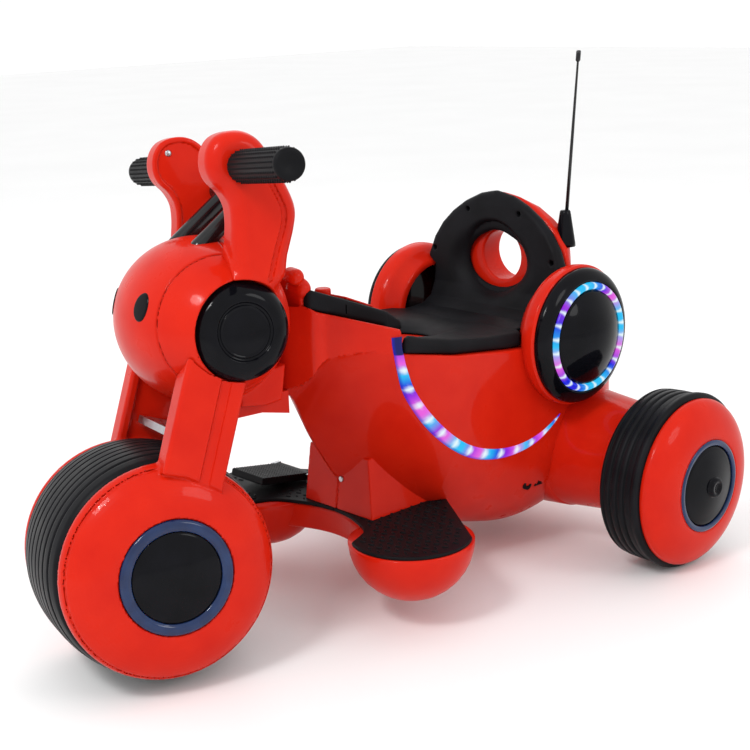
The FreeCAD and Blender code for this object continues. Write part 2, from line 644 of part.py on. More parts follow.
def led_strips():
    """Crescent light strips that follow the flank of the body under the saddle."""
    outline = [("-29", "318"), ("-24", "288"), ("-8", "247"), ("24", "202"), ("62", "169"), ("103", "150"),
               ("150", "146"), ("196", "155"), ("236", "176"), ("196", "163"), ("150", "158"), ("105", "164"),
               ("67", "185"), ("33", "216"), ("5", "254"), ("-12", "292"), ("-18", "318")]
    skin = cut("strip_skin", body_solid("strip_outside", 3.0), body_solid("strip_inside", 0.1, 5.0))
    strips = []
    for name, start in (("left", "40"), ("right", "-140")):
        blade = pad(f"strip_blade_{name}", "YZ_Plane", outline, "100", start)
        strips.append(common(f"led_strip_{name}", skin, blade))
    keep(group("led_strips", *strips))


def pod_wells(name):
    """Room for both pod housings, with a little clearance all round."""
    form = [("95.7", "0"), ("95.7", "pod_radius - 21"), ("108.5", "pod_radius - 12"), ("118", "pod_radius - 2"),
            ("126", "pod_radius + 0.6"), ("180", "pod_radius + 0.6"), ("180", "0")]
    centre = ("0", "pod_y", "pod_z")
    return [turn_x(f"{name}_{label}", side, form, centre) for label, side in (("left", 1), ("right", -1))]


def saddle():
    """One-piece black saddle and backrest, with the red shell that closes its back."""
    profile = [("-14.7", "300.3"), ("60", "284.3"), ("150", "273.3"), ("220", "268.3"), ("256", "267.4"),
               ("265.5", "back_top"), ("back_y + 7", "back_top"), ("241", "290"), ("225", "284"),
               ("120", "292"), ("0", "314"), ("-14.7", "322")]
    side_view = pad("saddle_side", "YZ_Plane", profile, "260", "-130")
    front_view = pad("saddle_front", "XZ_Plane",
                     [("0 - back_half", "250"), ("back_half", "250"), ("back_half", "345"), ("98", "378"),
                      ("78", "402"), ("50", "424"), ("16", "back_top"), ("-16", "back_top"), ("-50", "424"),
                      ("-78", "402"), ("-98", "378"), ("0 - back_half", "345")], "400", "-300")
    hole = primitive("Cylinder", "saddle_hole", ("0", "200", "hole_z"), ALONG_Y, Radius="hole_radius",
                     Height="140")
    wells = pod_wells("saddle_well")
    block = common("saddle_block", side_view, front_view)
    keep(cut("saddle", block, hole, *wells))
    back_profile = [("256.4", "267.4"), ("290", "266.7"), ("302", "300"), ("296", "380"), ("280", "432"),
                    ("265.9", "back_top")]
    plan = pad("back_plan", "XY_Plane",
               [("-110", "250"), ("110", "250"), ("110", "262"), ("76", "306"), ("-76", "306"), ("-110", "262")],
               "250", "230")
    back = common("back_block", pad("back_side", "YZ_Plane", back_profile, "260", "-130"), front_view, plan)
    hollow = pad("back_hollow", "YZ_Plane",
                 [("250", "275"), ("286", "275"), ("298", "302"), ("292", "378"), ("278", "420"), ("250", "420")],
                 "144", "-72")
    sleeve = primitive("Cylinder", "back_sleeve", ("0", "200", "hole_z"), ALONG_Y, Radius="hole_radius + 4",
                       Height="140")
    keep(cut("backrest_shell", back, cut("back_room", hollow, sleeve), hole, *wells))
    return back


def axle_housings():
    """Tapered hollow housings from the body to each rear wheel."""
    hull_skin = body_solid("housing_hull", 0.2, 0.2)
    outline = [("60", "housing_big + 2"), ("housing_end_x", "housing_small"), ("housing_end_x", "housing_hole"),
               ("housing_end_x - 3", "housing_hole"), ("housing_end_x - 3", "housing_small - 4"),
               ("60", "housing_big - 2")]
    housings = []
    for name, side in (("left", 1), ("right", -1)):
        blank = turn_x(f"housing_turned_{name}", side, outline, ("0", "housing_y", "housing_z"))
        housings.append(cut(f"axle_housing_{name}", blank, hull_skin))
    keep(group("axle_housings", *housings))


def rear_wheels():
    """Ribbed rear tyres on hollow rims, each with a red domed disc, a ring and a cap."""
    centre = ("0", "rear_y", "rear_radius")
    tyre = [("rear_inner_x", "rear_rim_radius"), ("rear_inner_x", "rear_radius - 14"),
            ("rear_inner_x + 8", "rear_radius - 2"), ("(rear_inner_x + rear_outer_x) / 2", "rear_radius"),
            ("rear_outer_x - 6", "rear_radius - 2"), ("rear_outer_x", "rear_radius - 9"),
            ("rear_outer_x", "rear_rim_radius"), ("rear_outer_x - 6", "rear_rim_radius"),
            ("rear_outer_x - 6", "rear_radius - 12"), ("rear_inner_x + 8", "rear_radius - 12"),
            ("rear_inner_x + 6", "rear_rim_radius")]
    rim = [("rear_inner_x + 1", "axle_radius + running_gap"), ("rear_inner_x + 1", "hub_radius + 4"),
           ("rear_inner_x + 24", "hub_radius + 4"), ("rear_inner_x + 24", "rear_rim_radius - 4"),
           ("rear_inner_x + 2", "rear_rim_radius - 4"), ("rear_inner_x + 2", "rear_rim_radius"),
           ("rear_outer_x - 0.1", "rear_rim_radius"), ("rear_outer_x - 0.1", "rear_rim_radius - 4"),
           ("rear_inner_x + 29", "rear_rim_radius - 4"), ("rear_inner_x + 29", "hub_radius + 4"),
           ("rear_outer_x - 0.1", "hub_radius + 4"), ("rear_outer_x - 0.1", "axle_radius + running_gap")]
    disc = [("rear_outer_x + 0.1", "disc_radius"),
            ("rear_outer_x + 5", "disc_radius", "-60"), ("disc_dome_x", "rear_ring_radius + 0.2"),
            ("disc_dome_x - 6", "rear_ring_radius + 0.2"), ("disc_dome_x - 6", "axle_radius + 8"),
            ("disc_dome_x - 9", "axle_radius + 8"), ("disc_dome_x - 9", "rear_ring_radius + 3"),
            ("rear_outer_x + 4", "disc_radius - 4"), ("rear_outer_x + 0.1", "disc_radius - 4")]
    ring = [("disc_dome_x - 5.9", "rear_ring_inner"), ("disc_dome_x - 5.9", "rear_ring_radius"),
            ("disc_dome_x + 0.5", "rear_ring_radius"), ("disc_dome_x + 1.5", "rear_ring_radius - 3"),
            ("disc_dome_x + 1.5", "rear_ring_inner")]
    cap = [("disc_dome_x - 5.9", "axle_radius + 7"), ("disc_dome_x - 5.9", "rear_ring_inner - 0.2"),
           ("disc_dome_x - 1", "rear_ring_inner - 0.2"), ("disc_dome_x + 0.5", "22"),
           ("disc_dome_x + 5", "14"), ("disc_dome_x + 5", "0"), ("disc_dome_x + 1", "0"),
           ("disc_dome_x + 1", "axle_radius + 7")]
    for name, side in (("left", 1), ("right", -1)):
        for label, corners in (("tyre", tyre), ("rim", rim), ("disc", disc), ("hub_ring", ring),
                               ("hub_cap", cap)):
            keep(group(f"rear_{label}_{name}", turn_x(f"rear_{label}_turned_{name}", side, corners, centre)))
    keep(group("rear_axle", rod_x("rear_axle_rod", "axle_radius", "6.2 - disc_dome_x", "disc_dome_x - 6.2",
                                  "rear_y", "rear_radius")))


def drive():
    """Battery, control board, and the geared motor inside the left axle housing."""
    keep(group("battery", box("battery_case", ("-35", "60", "110"), ("35", "150", "195"))))
    keep(group("control_board", box("board_plate", ("-30", "-20", "215"), ("30", "45", "219"))))
    case = box("gearbox_case", ("144", "270", "82"), ("190", "336", "150"))
    motor = rod_x("motor_can", "17", "90", "145", "290", "128")
    bore = rod_x("gearbox_bore", "axle_radius + running_gap", "140", "200", "rear_y", "rear_radius")
    keep(cut("motor_gearbox", fuse("gearbox_whole", case, motor), bore))
    dog = cut("dog_turned", rod_x("dog_outside", "16", "190.5", "rear_inner_x + 0.9", "rear_y", "rear_radius"),
              rod_x("dog_inside", "axle_radius + running_gap", "180", "220", "rear_y", "rear_radius"))
    keep(group("drive_dog", dog))


def fittings():
    """Charging socket and power rocker in the left flank."""
    can = rod_x("socket_can", "7", "90", "106", "190", "96")
    bore = rod_x("socket_bore", "3.25", "94", "110", "190", "96")
    frame = box("switch_frame_case", ("90", "203", "90"), ("106", "217", "102"))
    well = box("switch_frame_well", ("94", "205", "92"), ("110", "215", "100"))
    keep(group("power_panel", cut("charge_socket", can, bore), cut("switch_frame", frame, well)))
    rocker = group("power_rocker", box("rocker_block", ("97", "206.2", "92.3"), ("107.5", "213.8", "99.7")))
    pivot = V(101, 210, 96)
    rocker.Placement = FreeCAD.Placement(V(), FreeCAD.Rotation(V(0, 0, 1), 8), pivot)
    keep(rocker)


def deck():
    """Foot deck: two round bowls under black mats, joined by a bridge below the pedestal."""
    bowls = []
    mats = []
    bowl = [("0", "bowl_bottom"), ("26", "bowl_bottom + 4"), ("46", "bowl_bottom + 16"),
            ("61", "bowl_bottom + 36"), ("foot_radius + 1", "deck_top - 12"), ("foot_radius + 2", "deck_top"),
            ("foot_radius - 1", "deck_top"), ("foot_radius - 2", "deck_top - 12"), ("58", "bowl_bottom + 37"),
            ("44", "bowl_bottom + 19"), ("25", "bowl_bottom + 7"), ("0", "bowl_bottom + 3")]
    for name, side in (("left", 1), ("right", -1)):
        turned = revolve(f"bowl_turned_{name}", bowl, "XZ_Plane", "V_Axis")
        place(turned, (flip(side, "foot_x"), "foot_y", "0"))
        bowls.append(turned)
        disc = primitive("Cylinder", f"mat_disc_{name}", (flip(side, "foot_x"), "foot_y", "deck_top + 0.1"),
                         Radius="foot_radius", Height="mat_thick")
        wing = pad(f"mat_wing_{name}", "XY_Plane",
                   [(flip(side, "pedestal_half + 1.5"), "foot_y - 31"), (flip(side, "foot_x - 12"), "foot_y - 66"),
                    (flip(side, "foot_x + 45"), "foot_y + 41"), (flip(side, "pedestal_half + 1.5"), "84")],
                   "mat_thick", "deck_top + 0.1")
        mats.append(fuse(f"mat_whole_{name}", disc, wing))
    keep(group("foot_bowls", *bowls))
    bridge = box("bridge_block", ("0 - foot_x", "-30", "bridge_bottom"), ("foot_x", "80", "deck_top"))
    wells = [primitive("Cylinder", f"bridge_well_{name}", (flip(side, "foot_x"), "foot_y", "0"),
                       Radius="foot_radius + 2.2", Height="120") for name, side in (("left", 1), ("right", -1))]
    keep(cut("deck_bridge", bridge, *wells, body_solid("bridge_hull", 0.2, 0.2)))
    pedestal = pad("pedestal_blank", "YZ_Plane",
                   [("-33", "deck_top + 0.1"), ("80", "deck_top + 0.1"), ("80", "125"), ("-10", "168"),
                    ("-24", "168")], "2 * pedestal_half", "0 - pedestal_half")
    hull_skin = body_solid("pedestal_hull", 0.2, 0.2)
    keep(cut("pedestal", pedestal, hull_skin, *body_screw_rods("pedestal_hole", "30")))
    keep(group("body_screws", *body_screw_rods("pedestal_screw", "24")))
    slot = box("mat_slot", ("0 - pedestal_half - 0.5", "-60", "90"), ("pedestal_half + 0.5", "100", "140"))
    room = body_solid("mat_hull", 4.0, 4.0)
    trimmed = [cut(f"foot_mat_{name}", mat, slot, room) for name, mat in zip(("left", "right"), mats)]
    keep(group("foot_mats", *trimmed))


def pedal():
    """Accelerator pedal on the right mat, hinged at its heel on a pin between two lugs."""
    plate = box("pedal_plate", ("pedal_x - pedal_half", "pedal_pivot_y - pedal_length", "pedal_pivot_z - 4"),
                ("pedal_x + pedal_half", "pedal_pivot_y + 5", "pedal_pivot_z - 4 + pedal_thick"))
    pin_hole = rod_x("pedal_pin_hole", "2.55", "pedal_x - 50", "pedal_x + 50", "pedal_pivot_y", "pedal_pivot_z")
    blank = cut("pedal_blank", plate, pin_hole)
    hinge = V(size("pedal_x"), size("pedal_pivot_y"), size("pedal_pivot_z"))
    tilt = FreeCAD.Rotation(V(1, 0, 0), -size("pedal_tilt"))
    raised = group("accelerator_pedal", blank)
    raised.Placement = FreeCAD.Placement(V(), tilt, hinge)
    keep(raised)
    pin = rod_x("pedal_pin_rod", "2.5", "pedal_x - pedal_half - 6", "pedal_x + pedal_half + 6", "pedal_pivot_y",
                "pedal_pivot_z")
    lugs = []
    for name, side in (("left", 1), ("right", -1)):
        inner = f"pedal_x + {flip(side, 'pedal_half + 1')}"
        outer = f"pedal_x + {flip(side, 'pedal_half + 6')}"
        low, high = (inner, outer) if side > 0 else (outer, inner)
        lug = box(f"pedal_lug_{name}", (low, "pedal_pivot_y - 6", "deck_top + mat_thick + 0.2"),
                  (high, "pedal_pivot_y + 6", "pedal_pivot_z + 5"))
        hole = rod_x(f"pedal_lug_hole_{name}", "2.5", "pedal_x - 50", "pedal_x + 50", "pedal_pivot_y",
                     "pedal_pivot_z")
        lugs.append(cut(f"pedal_lug_bored_{name}", lug, hole))
    keep(group("pedal_hinge", pin, *lugs))


def antenna(backrest):
    """Thin decorative mast that leans back from a cone foot on the shoulder of the backrest shell."""
    cone = primitive("Cone", "antenna_cone", ("mast_x", "mast_y", "mast_z - 17"), Radius1="13", Radius2="6",
                     Height="43")
    keep(cut("antenna_base", cone, backrest))
    lean = FreeCAD.Rotation(V(1, 0, 0), -size("mast_lean"))

    def along_mast(distance):
        return ("mast_x", f"mast_y + ({distance}) * sin(mast_lean)", f"mast_z + ({distance}) * cos(mast_lean)")

    knob_start = "mast_length - knob_length"
    whip = primitive("Cone", "antenna_whip_rod", along_mast("mast_start"), lean, Radius1="mast_radius",
                     Radius2="mast_radius - 1", Height=f"{knob_start} - 0.05 - mast_start")
    knob = primitive("Cylinder", "antenna_tip_rod", along_mast(knob_start), lean, Radius="3",
                     Height="knob_length")
    keep(group("antenna_whip", whip, knob))


# ---------------------------------------------------------------- build and export

def check_and_export():
    """Recompute, stop on any failed object or bad shape, and write one file for each sub-part."""
    doc.recompute()
    for item in doc.Objects:
        states = [state for state in item.State if state in ("Invalid", "Error")]
        if states:
            raise RuntimeError(f"{item.Label}: {states}")
    os.makedirs("parts", exist_ok=True)
    centring = FreeCAD.Placement(V(0, size("box_shift"), 0), FreeCAD.Rotation())
    for item in nodes:
        item.Placement = centring.multiply(item.Placement)
        shape = item.Shape
        if shape.isNull() or not shape.isValid():
            raise RuntimeError(f"{item.Label}: bad shape")
        box_size = shape.optimalBoundingBox(False)
        print(f"{item.Label:22s} solids {len(shape.Solids)}  volume {shape.Volume / 1000:9.2f} cm3  "
              f"x {box_size.XMin:.1f} to {box_size.XMax:.1f}  y {box_size.YMin:.1f} to {box_size.YMax:.1f}  "
              f"z {box_size.ZMin:.1f} to {box_size.ZMax:.1f}")
        shape.exportStep(f"parts/{item.Label}.step")


fill_sheet()
head_shells()
lamps()
speakers()
stalks()
handlebar()
fork()
front_wheel()
front_covers()
hull()
neck()
dashboard()
pods()
led_strips()
back_form = saddle()
axle_housings()
rear_wheels()
drive()
fittings()
deck()
pedal()
antenna(back_form)
check_and_export()
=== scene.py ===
"""A child's battery ride-on trike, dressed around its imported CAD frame.

Shapes are written in millimetres in the design frame: the ground is z = 0, the front faces -Y and
+X is the rider's left. to_row() carries them to the frame's own place, in metres.
"""

import json
import math

import bmesh
import bpy
import numpy as np
from mathutils import Matrix, Vector


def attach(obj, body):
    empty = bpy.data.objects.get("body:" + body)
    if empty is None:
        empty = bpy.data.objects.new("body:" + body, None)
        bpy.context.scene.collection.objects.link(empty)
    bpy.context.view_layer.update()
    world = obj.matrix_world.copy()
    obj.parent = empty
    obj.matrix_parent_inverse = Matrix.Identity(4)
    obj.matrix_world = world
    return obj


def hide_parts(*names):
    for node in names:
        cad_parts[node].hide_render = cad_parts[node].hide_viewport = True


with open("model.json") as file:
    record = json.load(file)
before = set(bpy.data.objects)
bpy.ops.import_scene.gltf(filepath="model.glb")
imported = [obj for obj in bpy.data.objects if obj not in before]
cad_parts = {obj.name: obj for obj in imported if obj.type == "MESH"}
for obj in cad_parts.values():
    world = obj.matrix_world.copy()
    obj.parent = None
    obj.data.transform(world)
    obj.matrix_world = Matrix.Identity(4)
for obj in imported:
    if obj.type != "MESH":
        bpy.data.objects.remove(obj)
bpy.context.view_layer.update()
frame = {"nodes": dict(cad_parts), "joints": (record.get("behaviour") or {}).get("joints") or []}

MM = 0.001
CENTRING = np.array((0.0, 4.75, 0.0))
REST_TURN = math.radians(-18.5)
SIDES = (("left", 1), ("right", -1))

joints = {joint["name"]: joint for joint in frame["joints"]}
AXIS_FOOT = Vector(joints["steering_turn"]["pos_m"])
AXIS_DIRECTION = Vector(joints["steering_turn"]["axis"]).normalized()


# ---------------------------------------------------------------- from the design frame to the row

def to_row(points, steered=False):
    """Design millimetres to row metres; a steered piece is also turned to its resting angle."""
    row = (np.asarray(points, float) + CENTRING) * MM
    if steered:
        foot = np.array(AXIS_FOOT)
        row = (row - foot) @ resting_turn().T + foot
    return row


def resting_turn():
    """The rotation of the steering from straight ahead to its resting angle."""
    upward = AXIS_DIRECTION if AXIS_DIRECTION.z > 0 else -AXIS_DIRECTION
    return np.array(Matrix.Rotation(REST_TURN, 3, upward))


# ---------------------------------------------------------------- meshes

def add_mesh(name, points, faces, body, material, steered=False, normals=None):
    """A smooth-shaded mesh object that rides on a body."""
    mesh = bpy.data.meshes.new(name)
    mesh.from_pydata(to_row(points, steered).tolist(), [], [tuple(face) for face in faces])
    mesh.validate()
    mesh.polygons.foreach_set("use_smooth", np.ones(len(mesh.polygons), bool))
    if normals is not None:
        turned = normals @ resting_turn().T if steered else normals
        mesh.normals_split_custom_set_from_vertices(turned.tolist())
    mesh.materials.append(material)
    piece = bpy.data.objects.new(name, mesh)
    bpy.context.scene.collection.objects.link(piece)
    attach(piece, body)
    return piece


def rounded(corners, steps=5):
    """A closed polyline through corners (u, v, radius), with each corner eased over its radius."""
    count = len(corners)
    points = []
    for index, (u, v, radius) in enumerate(corners):
        here = np.array((u, v), float)
        if radius <= 0:
            points.append(here)
            continue
        back = np.array(corners[index - 1][:2], float) - here
        ahead = np.array(corners[(index + 1) % count][:2], float) - here
        reach = min(radius, 0.45 * np.linalg.norm(back), 0.45 * np.linalg.norm(ahead))
        start = here + back / np.linalg.norm(back) * reach
        end = here + ahead / np.linalg.norm(ahead) * reach
        points.append(start + (start - here) * 0.12)
        for t in np.linspace(0, 1, steps):
            points.append((1 - t) ** 2 * start + 2 * t * (1 - t) * here + t * t * end)
        points.append(end + (end - here) * 0.12)
    return np.array(points)


def lathe(profile, centre, side=1, segments=128, closed=True):
    """Points and faces of a profile (distance out, radius) turned about the X axis through centre."""
    profile = np.asarray(profile, float)
    angles = np.linspace(0, 2 * math.pi, segments, endpoint=False)
    rings = len(profile)
    points = np.zeros((rings, segments, 3))
    points[..., 0] = side * profile[:, :1]
    points[..., 1] = profile[:, 1:2] * np.cos(angles)
    points[..., 2] = profile[:, 1:2] * np.sin(angles)
    points = points.reshape(-1, 3) + np.array(centre, float)
    faces = []
    spans = rings if closed else rings - 1
    for ring in range(spans):
        near = ring * segments
        far = (ring + 1) % rings * segments
        for step in range(segments):
            after = (step + 1) % segments
            face = (near + step, near + after, far + after, far + step)
            faces.append(face if side > 0 else face[::-1])
    return points, faces


def turned(name, profile, centre, side, body, material, steered=False, segments=128):
    """A turned piece; a profile that starts and ends on the axis is closed there."""
    points, faces = lathe(profile, centre, side, segments)
    piece = add_mesh(name, points, faces, body, material, steered)
    weld(piece)
    return piece


def weld(piece, distance=0.00001):
    """Join the points that lie together, such as those of a profile's end on its axis."""
    mesh = bmesh.new()
    mesh.from_mesh(piece.data)
    bmesh.ops.remove_doubles(mesh, verts=mesh.verts, dist=distance)
    bmesh.ops.recalc_face_normals(mesh, faces=mesh.faces)
    mesh.to_mesh(piece.data)
    mesh.free()


# ---------------------------------------------------------------- fields: negative inside, in mm

def join(a, b, fillet):
    """Both fields together, with a fillet where they meet."""
    ease = np.maximum(fillet - np.abs(a - b), 0) / fillet
    return np.minimum(a, b) - ease * ease * fillet / 4


def overlap(a, b, fillet):
    """What two fields share, with its new edge eased."""
    return -join(-a, -b, fillet)


def carve(a, b, fillet):
    """The first field with the second one cut away."""
    return overlap(a, -b, fillet)


def ellipsoid(x, y, z, centre, radii):
    """A ball with its own radius along each axis."""
    scaled = [(value - middle) / radius for value, middle, radius in zip((x, y, z), centre, radii)]
    near = np.sqrt(sum(value ** 2 for value in scaled))
    steep = np.sqrt(sum((value / radius) ** 2 for value, radius in zip(scaled, radii)))
    return near * (near - 1) / np.maximum(steep, 1e-9)


def polygon(u, v, corners):
    """The distance in a plane from a closed outline."""
    nearest = np.full(np.broadcast(u, v).shape, np.inf)
    inside = np.zeros(nearest.shape, bool)
    for (first_u, first_v), (last_u, last_v) in zip(corners, np.roll(corners, -1, axis=0)):
        along_u, along_v = last_u - first_u, last_v - first_v
        off_u, off_v = u - first_u, v - first_v
        share = np.clip((off_u * along_u + off_v * along_v) / (along_u ** 2 + along_v ** 2), 0, 1)
        nearest = np.minimum(nearest, (off_u - along_u * share) ** 2 + (off_v - along_v * share) ** 2)
        if along_v:
            spans = (first_v > v) != (last_v > v)
            inside ^= spans & (off_u < along_u * off_v / along_v)
    return np.where(inside, -1, 1) * np.sqrt(nearest)


def slab(outline, across, half, edge):
    """An outline's field given a thickness of 2 * half, with its edges rounded."""
    a = outline + edge
    b = np.abs(across) - half + edge
    return np.minimum(np.maximum(a, b), 0) + np.hypot(np.maximum(a, 0), np.maximum(b, 0)) - edge


def tube(x, y, z, path, radius):
    """A round bar along a path."""
    nearest = np.inf
    for start, end in zip(np.asarray(path, float), np.asarray(path, float)[1:]):
        along = end - start
        off = (x - start[0], y - start[1], z - start[2])
        share = np.clip(sum(part * step for part, step in zip(off, along)) / (along @ along), 0, 1)
        squares = sum((part - step * share) ** 2 for part, step in zip(off, along))
        nearest = np.minimum(nearest, squares)
    return np.sqrt(nearest) - radius


def curve(points, closed=True, per_span=6):
    """A smooth line through points, with per_span points for each span."""
    points = np.asarray(points, float)
    count = len(points)
    spans = count if closed else count - 1
    made = []
    for span in range(spans):
        picks = [span - 1, span, span + 1, span + 2]
        if closed:
            before, start, end, after = (points[pick % count] for pick in picks)
        else:
            before, start, end, after = (points[min(max(pick, 0), count - 1)] for pick in picks)
        square = 2 * before - 5 * start + 4 * end - after
        cube = 3 * start - before - 3 * end + after
        for t in np.linspace(0, 1, per_span, endpoint=False):
            made.append(0.5 * (2 * start + (end - before) * t + square * t * t + cube * t ** 3))
    if not closed:
        made.append(points[-1])
    return np.array(made)


def surface_net(field, low, high, step):
    """Points and faces of a net close to the surface where a field is zero."""
    axes = [np.arange(start - step, end + 2 * step, step) for start, end in zip(low, high)]
    shape = tuple(len(axis) for axis in axes)
    grid = (axes[0][:, None, None], axes[1][None, :, None], axes[2][None, None, :])
    value = np.array(np.broadcast_to(field(*grid), shape))
    cells = tuple(size - 1 for size in shape)
    total = np.zeros((*cells, 3))
    count = np.zeros(cells)
    for axis in range(3):
        order = [axis, (axis + 1) % 3, (axis + 2) % 3]
        first, last, crossing = crossings(value, order)
        share = np.where(crossing, first / np.where(crossing, first - last, 1), 0)
        sums = np.moveaxis(total, order + [3], [0, 1, 2, 3])
        hits = np.moveaxis(count, order, [0, 1, 2])
        wide, tall = hits.shape[1:]
        for right in (0, 1):
            for up in (0, 1):
                hit = crossing[:, right:right + wide, up:up + tall]
                hits += hit
                sums[..., order[0]] += share[:, right:right + wide, up:up + tall]
                sums[..., order[1]] += hit * right
                sums[..., order[2]] += hit * up
    held = count > 0
    label = np.full(cells, -1)
    label[held] = np.arange(held.sum())
    origin = np.array([axis[0] for axis in axes])
    points = origin + (np.argwhere(held) + total[held] / count[held][:, None]) * step
    faces = []
    for axis in range(3):
        order = [axis, (axis + 1) % 3, (axis + 2) % 3]
        first, last, crossing = crossings(value, order)
        i, j, k = np.nonzero(crossing[:, 1:-1, 1:-1])
        names = np.moveaxis(label, order, [0, 1, 2])
        quads = np.stack([names[i, j, k], names[i, j + 1, k], names[i, j + 1, k + 1], names[i, j, k + 1]], 1)
        backwards = first[i, j + 1, k + 1] > 0
        quads[backwards] = quads[backwards][:, ::-1]
        faces.append(quads)
    return points, np.concatenate(faces)


def crossings(value, order):
    """The two ends of each grid edge along the first axis of order, and where the sign changes."""
    lined = np.moveaxis(value, order, [0, 1, 2])
    first, last = lined[:-1], lined[1:]
    return first, last, (first < 0) != (last < 0)


def settle(field, points, step):
    """Points moved onto a field's surface, and the outward direction there."""
    nudge = step * 0.15
    slope = np.stack([field(*(points + shift).T) - field(*(points - shift).T)
                      for shift in np.eye(3) * nudge], axis=1) / (2 * nudge)
    steep = np.maximum(np.linalg.norm(slope, axis=1, keepdims=True), 1e-6)
    move = np.clip(field(*points.T)[:, None] / steep, -step, step)
    return points - slope / steep * move, slope / steep


def relax(points, faces):
    """Points moved half way to the middle of their neighbours."""
    total = np.zeros_like(points)
    count = np.zeros(len(points))
    for start, end in ((0, 1), (1, 2), (2, 3), (3, 0)):
        np.add.at(total, faces[:, start], points[faces[:, end]])
        np.add.at(count, faces[:, start], 1)
    return (points + total / count[:, None]) / 2


def solid(name, field, low, high, step, body, material, steered=False):
    """The closed surface of a field, with its true directions as the shading normals."""
    points, faces = surface_net(field, low, high, step)
    points, _ = settle(field, points, step)
    for _ in range(2):
        points, _ = settle(field, relax(points, faces), step)
    points, normals = settle(field, points, step)
    return add_mesh(name, points, faces, body, material, steered, normals)


# ---------------------------------------------------------------- materials

def finish(name, colour, tint, roughness, drift, grain=0.0, depth=0.0, patch=0.04, **sockets):
    """A moulded or painted finish.

    The colour moves between colour and tint, and the roughness by drift, over patches of that
    size; grain is the size of the surface texture and depth its height, all in metres.
    """
    material = bpy.data.materials.new(name)
    material.use_nodes = True
    nodes, links = material.node_tree.nodes, material.node_tree.links
    shader = nodes["Principled BSDF"]
    place = nodes.new("ShaderNodeTexCoord")
    patches = nodes.new("ShaderNodeTexNoise")
    patches.inputs["Scale"].default_value = 1 / patch
    patches.inputs["Detail"].default_value = 4.0
    links.new(place.outputs["Object"], patches.inputs["Vector"])
    ramp = nodes.new("ShaderNodeValToRGB")
    ramp.color_ramp.elements[0].position = 0.35
    ramp.color_ramp.elements[0].color = (*colour, 1)
    ramp.color_ramp.elements[1].position = 0.7
    ramp.color_ramp.elements[1].color = (*tint, 1)
    links.new(patches.outputs["Fac"], ramp.inputs["Fac"])
    links.new(ramp.outputs["Color"], shader.inputs["Base Color"])
    spread = nodes.new("ShaderNodeMapRange")
    spread.inputs["From Min"].default_value = 0.3
    spread.inputs["From Max"].default_value = 0.7
    spread.inputs["To Min"].default_value = roughness - drift
    spread.inputs["To Max"].default_value = roughness + drift
    links.new(patches.outputs["Fac"], spread.inputs["Value"])
    links.new(spread.outputs["Result"], shader.inputs["Roughness"])
    if grain:
        texture = nodes.new("ShaderNodeTexNoise")
        texture.inputs["Scale"].default_value = 1 / grain
        texture.inputs["Detail"].default_value = 3.0
        links.new(place.outputs["Object"], texture.inputs["Vector"])
        bump = nodes.new("ShaderNodeBump")
        bump.inputs["Distance"].default_value = depth
        links.new(texture.outputs["Fac"], bump.inputs["Height"])
        links.new(bump.outputs["Normal"], shader.inputs["Normal"])
    for socket, value in sockets.items():
        shader.inputs[socket.replace("_", " ")].default_value = value
    return material


RED = finish("red_plastic", (0.58, 0.015, 0.004), (0.53, 0.011, 0.003), 0.30, 0.04, grain=0.004,
             depth=0.00002, Specular_IOR_Level=0.05, Coat_Weight=0.16, Coat_Roughness=0.04)
BLACK = finish("grained_black", (0.006, 0.006, 0.007), (0.010, 0.010, 0.012), 0.50, 0.06, grain=0.0007,
               depth=0.00012, Specular_IOR_Level=0.07)
GLOSS = finish("gloss_black", (0.002, 0.002, 0.003), (0.004, 0.004, 0.006), 0.14, 0.03, grain=0.006,
               depth=0.00001, Specular_IOR_Level=0.04, Coat_Weight=0.14, Coat_Roughness=0.03)
TYRE = finish("tyre_rubber", (0.006, 0.006, 0.007), (0.010, 0.010, 0.012), 0.40, 0.07, grain=0.0012,
              depth=0.00008, Specular_IOR_Level=0.07)
GRIP = finish("grip_rubber", (0.006, 0.006, 0.007), (0.009, 0.009, 0.010), 0.42, 0.06, grain=0.0009,
              depth=0.0001, Specular_IOR_Level=0.06)
NAVY = finish("navy_ring", (0.004, 0.014, 0.060), (0.006, 0.024, 0.090), 0.16, 0.04, patch=0.02,
              Specular_IOR_Level=0.2, Coat_Weight=0.4, Coat_Roughness=0.03)
STEEL = finish("bare_steel", (0.42, 0.43, 0.45), (0.55, 0.56, 0.58), 0.32, 0.08, grain=0.0008,
               depth=0.00003, patch=0.01, Metallic=1.0)
TUBE = finish("black_steel", (0.004, 0.004, 0.005), (0.008, 0.009, 0.010), 0.2, 0.05, grain=0.003,
              depth=0.00004, Specular_IOR_Level=0.25, Coat_Weight=0.3)
RIM = finish("rim_plastic", (0.012, 0.012, 0.014), (0.018, 0.018, 0.020), 0.45, 0.06, grain=0.001,
             depth=0.0001, Specular_IOR_Level=0.2)
INNER = finish("inner_plastic", (0.05, 0.05, 0.055), (0.07, 0.07, 0.075), 0.5, 0.05, grain=0.001,
               depth=0.0001)

CAD_FINISHES = {
    "red_shell": RED, "black_trim": BLACK, "gloss_black": GLOSS, "tyre_black": TYRE,
    "grip_rubber": GRIP, "navy_ring": NAVY, "led_lens": GLOSS, "black_steel": TUBE,
    "bare_steel": STEEL, "rim_plastic": RIM, "inner_parts": INNER,
}


def dress_cad():
    """Give every CAD node the finish of its slot."""
    for node in frame["nodes"].values():
        for slot in node.material_slots:
            name = slot.material.name.split(".")[0] if slot.material else ""
            slot.material = CAD_FINISHES.get(name, BLACK)


# ---------------------------------------------------------------- camera, light and floor

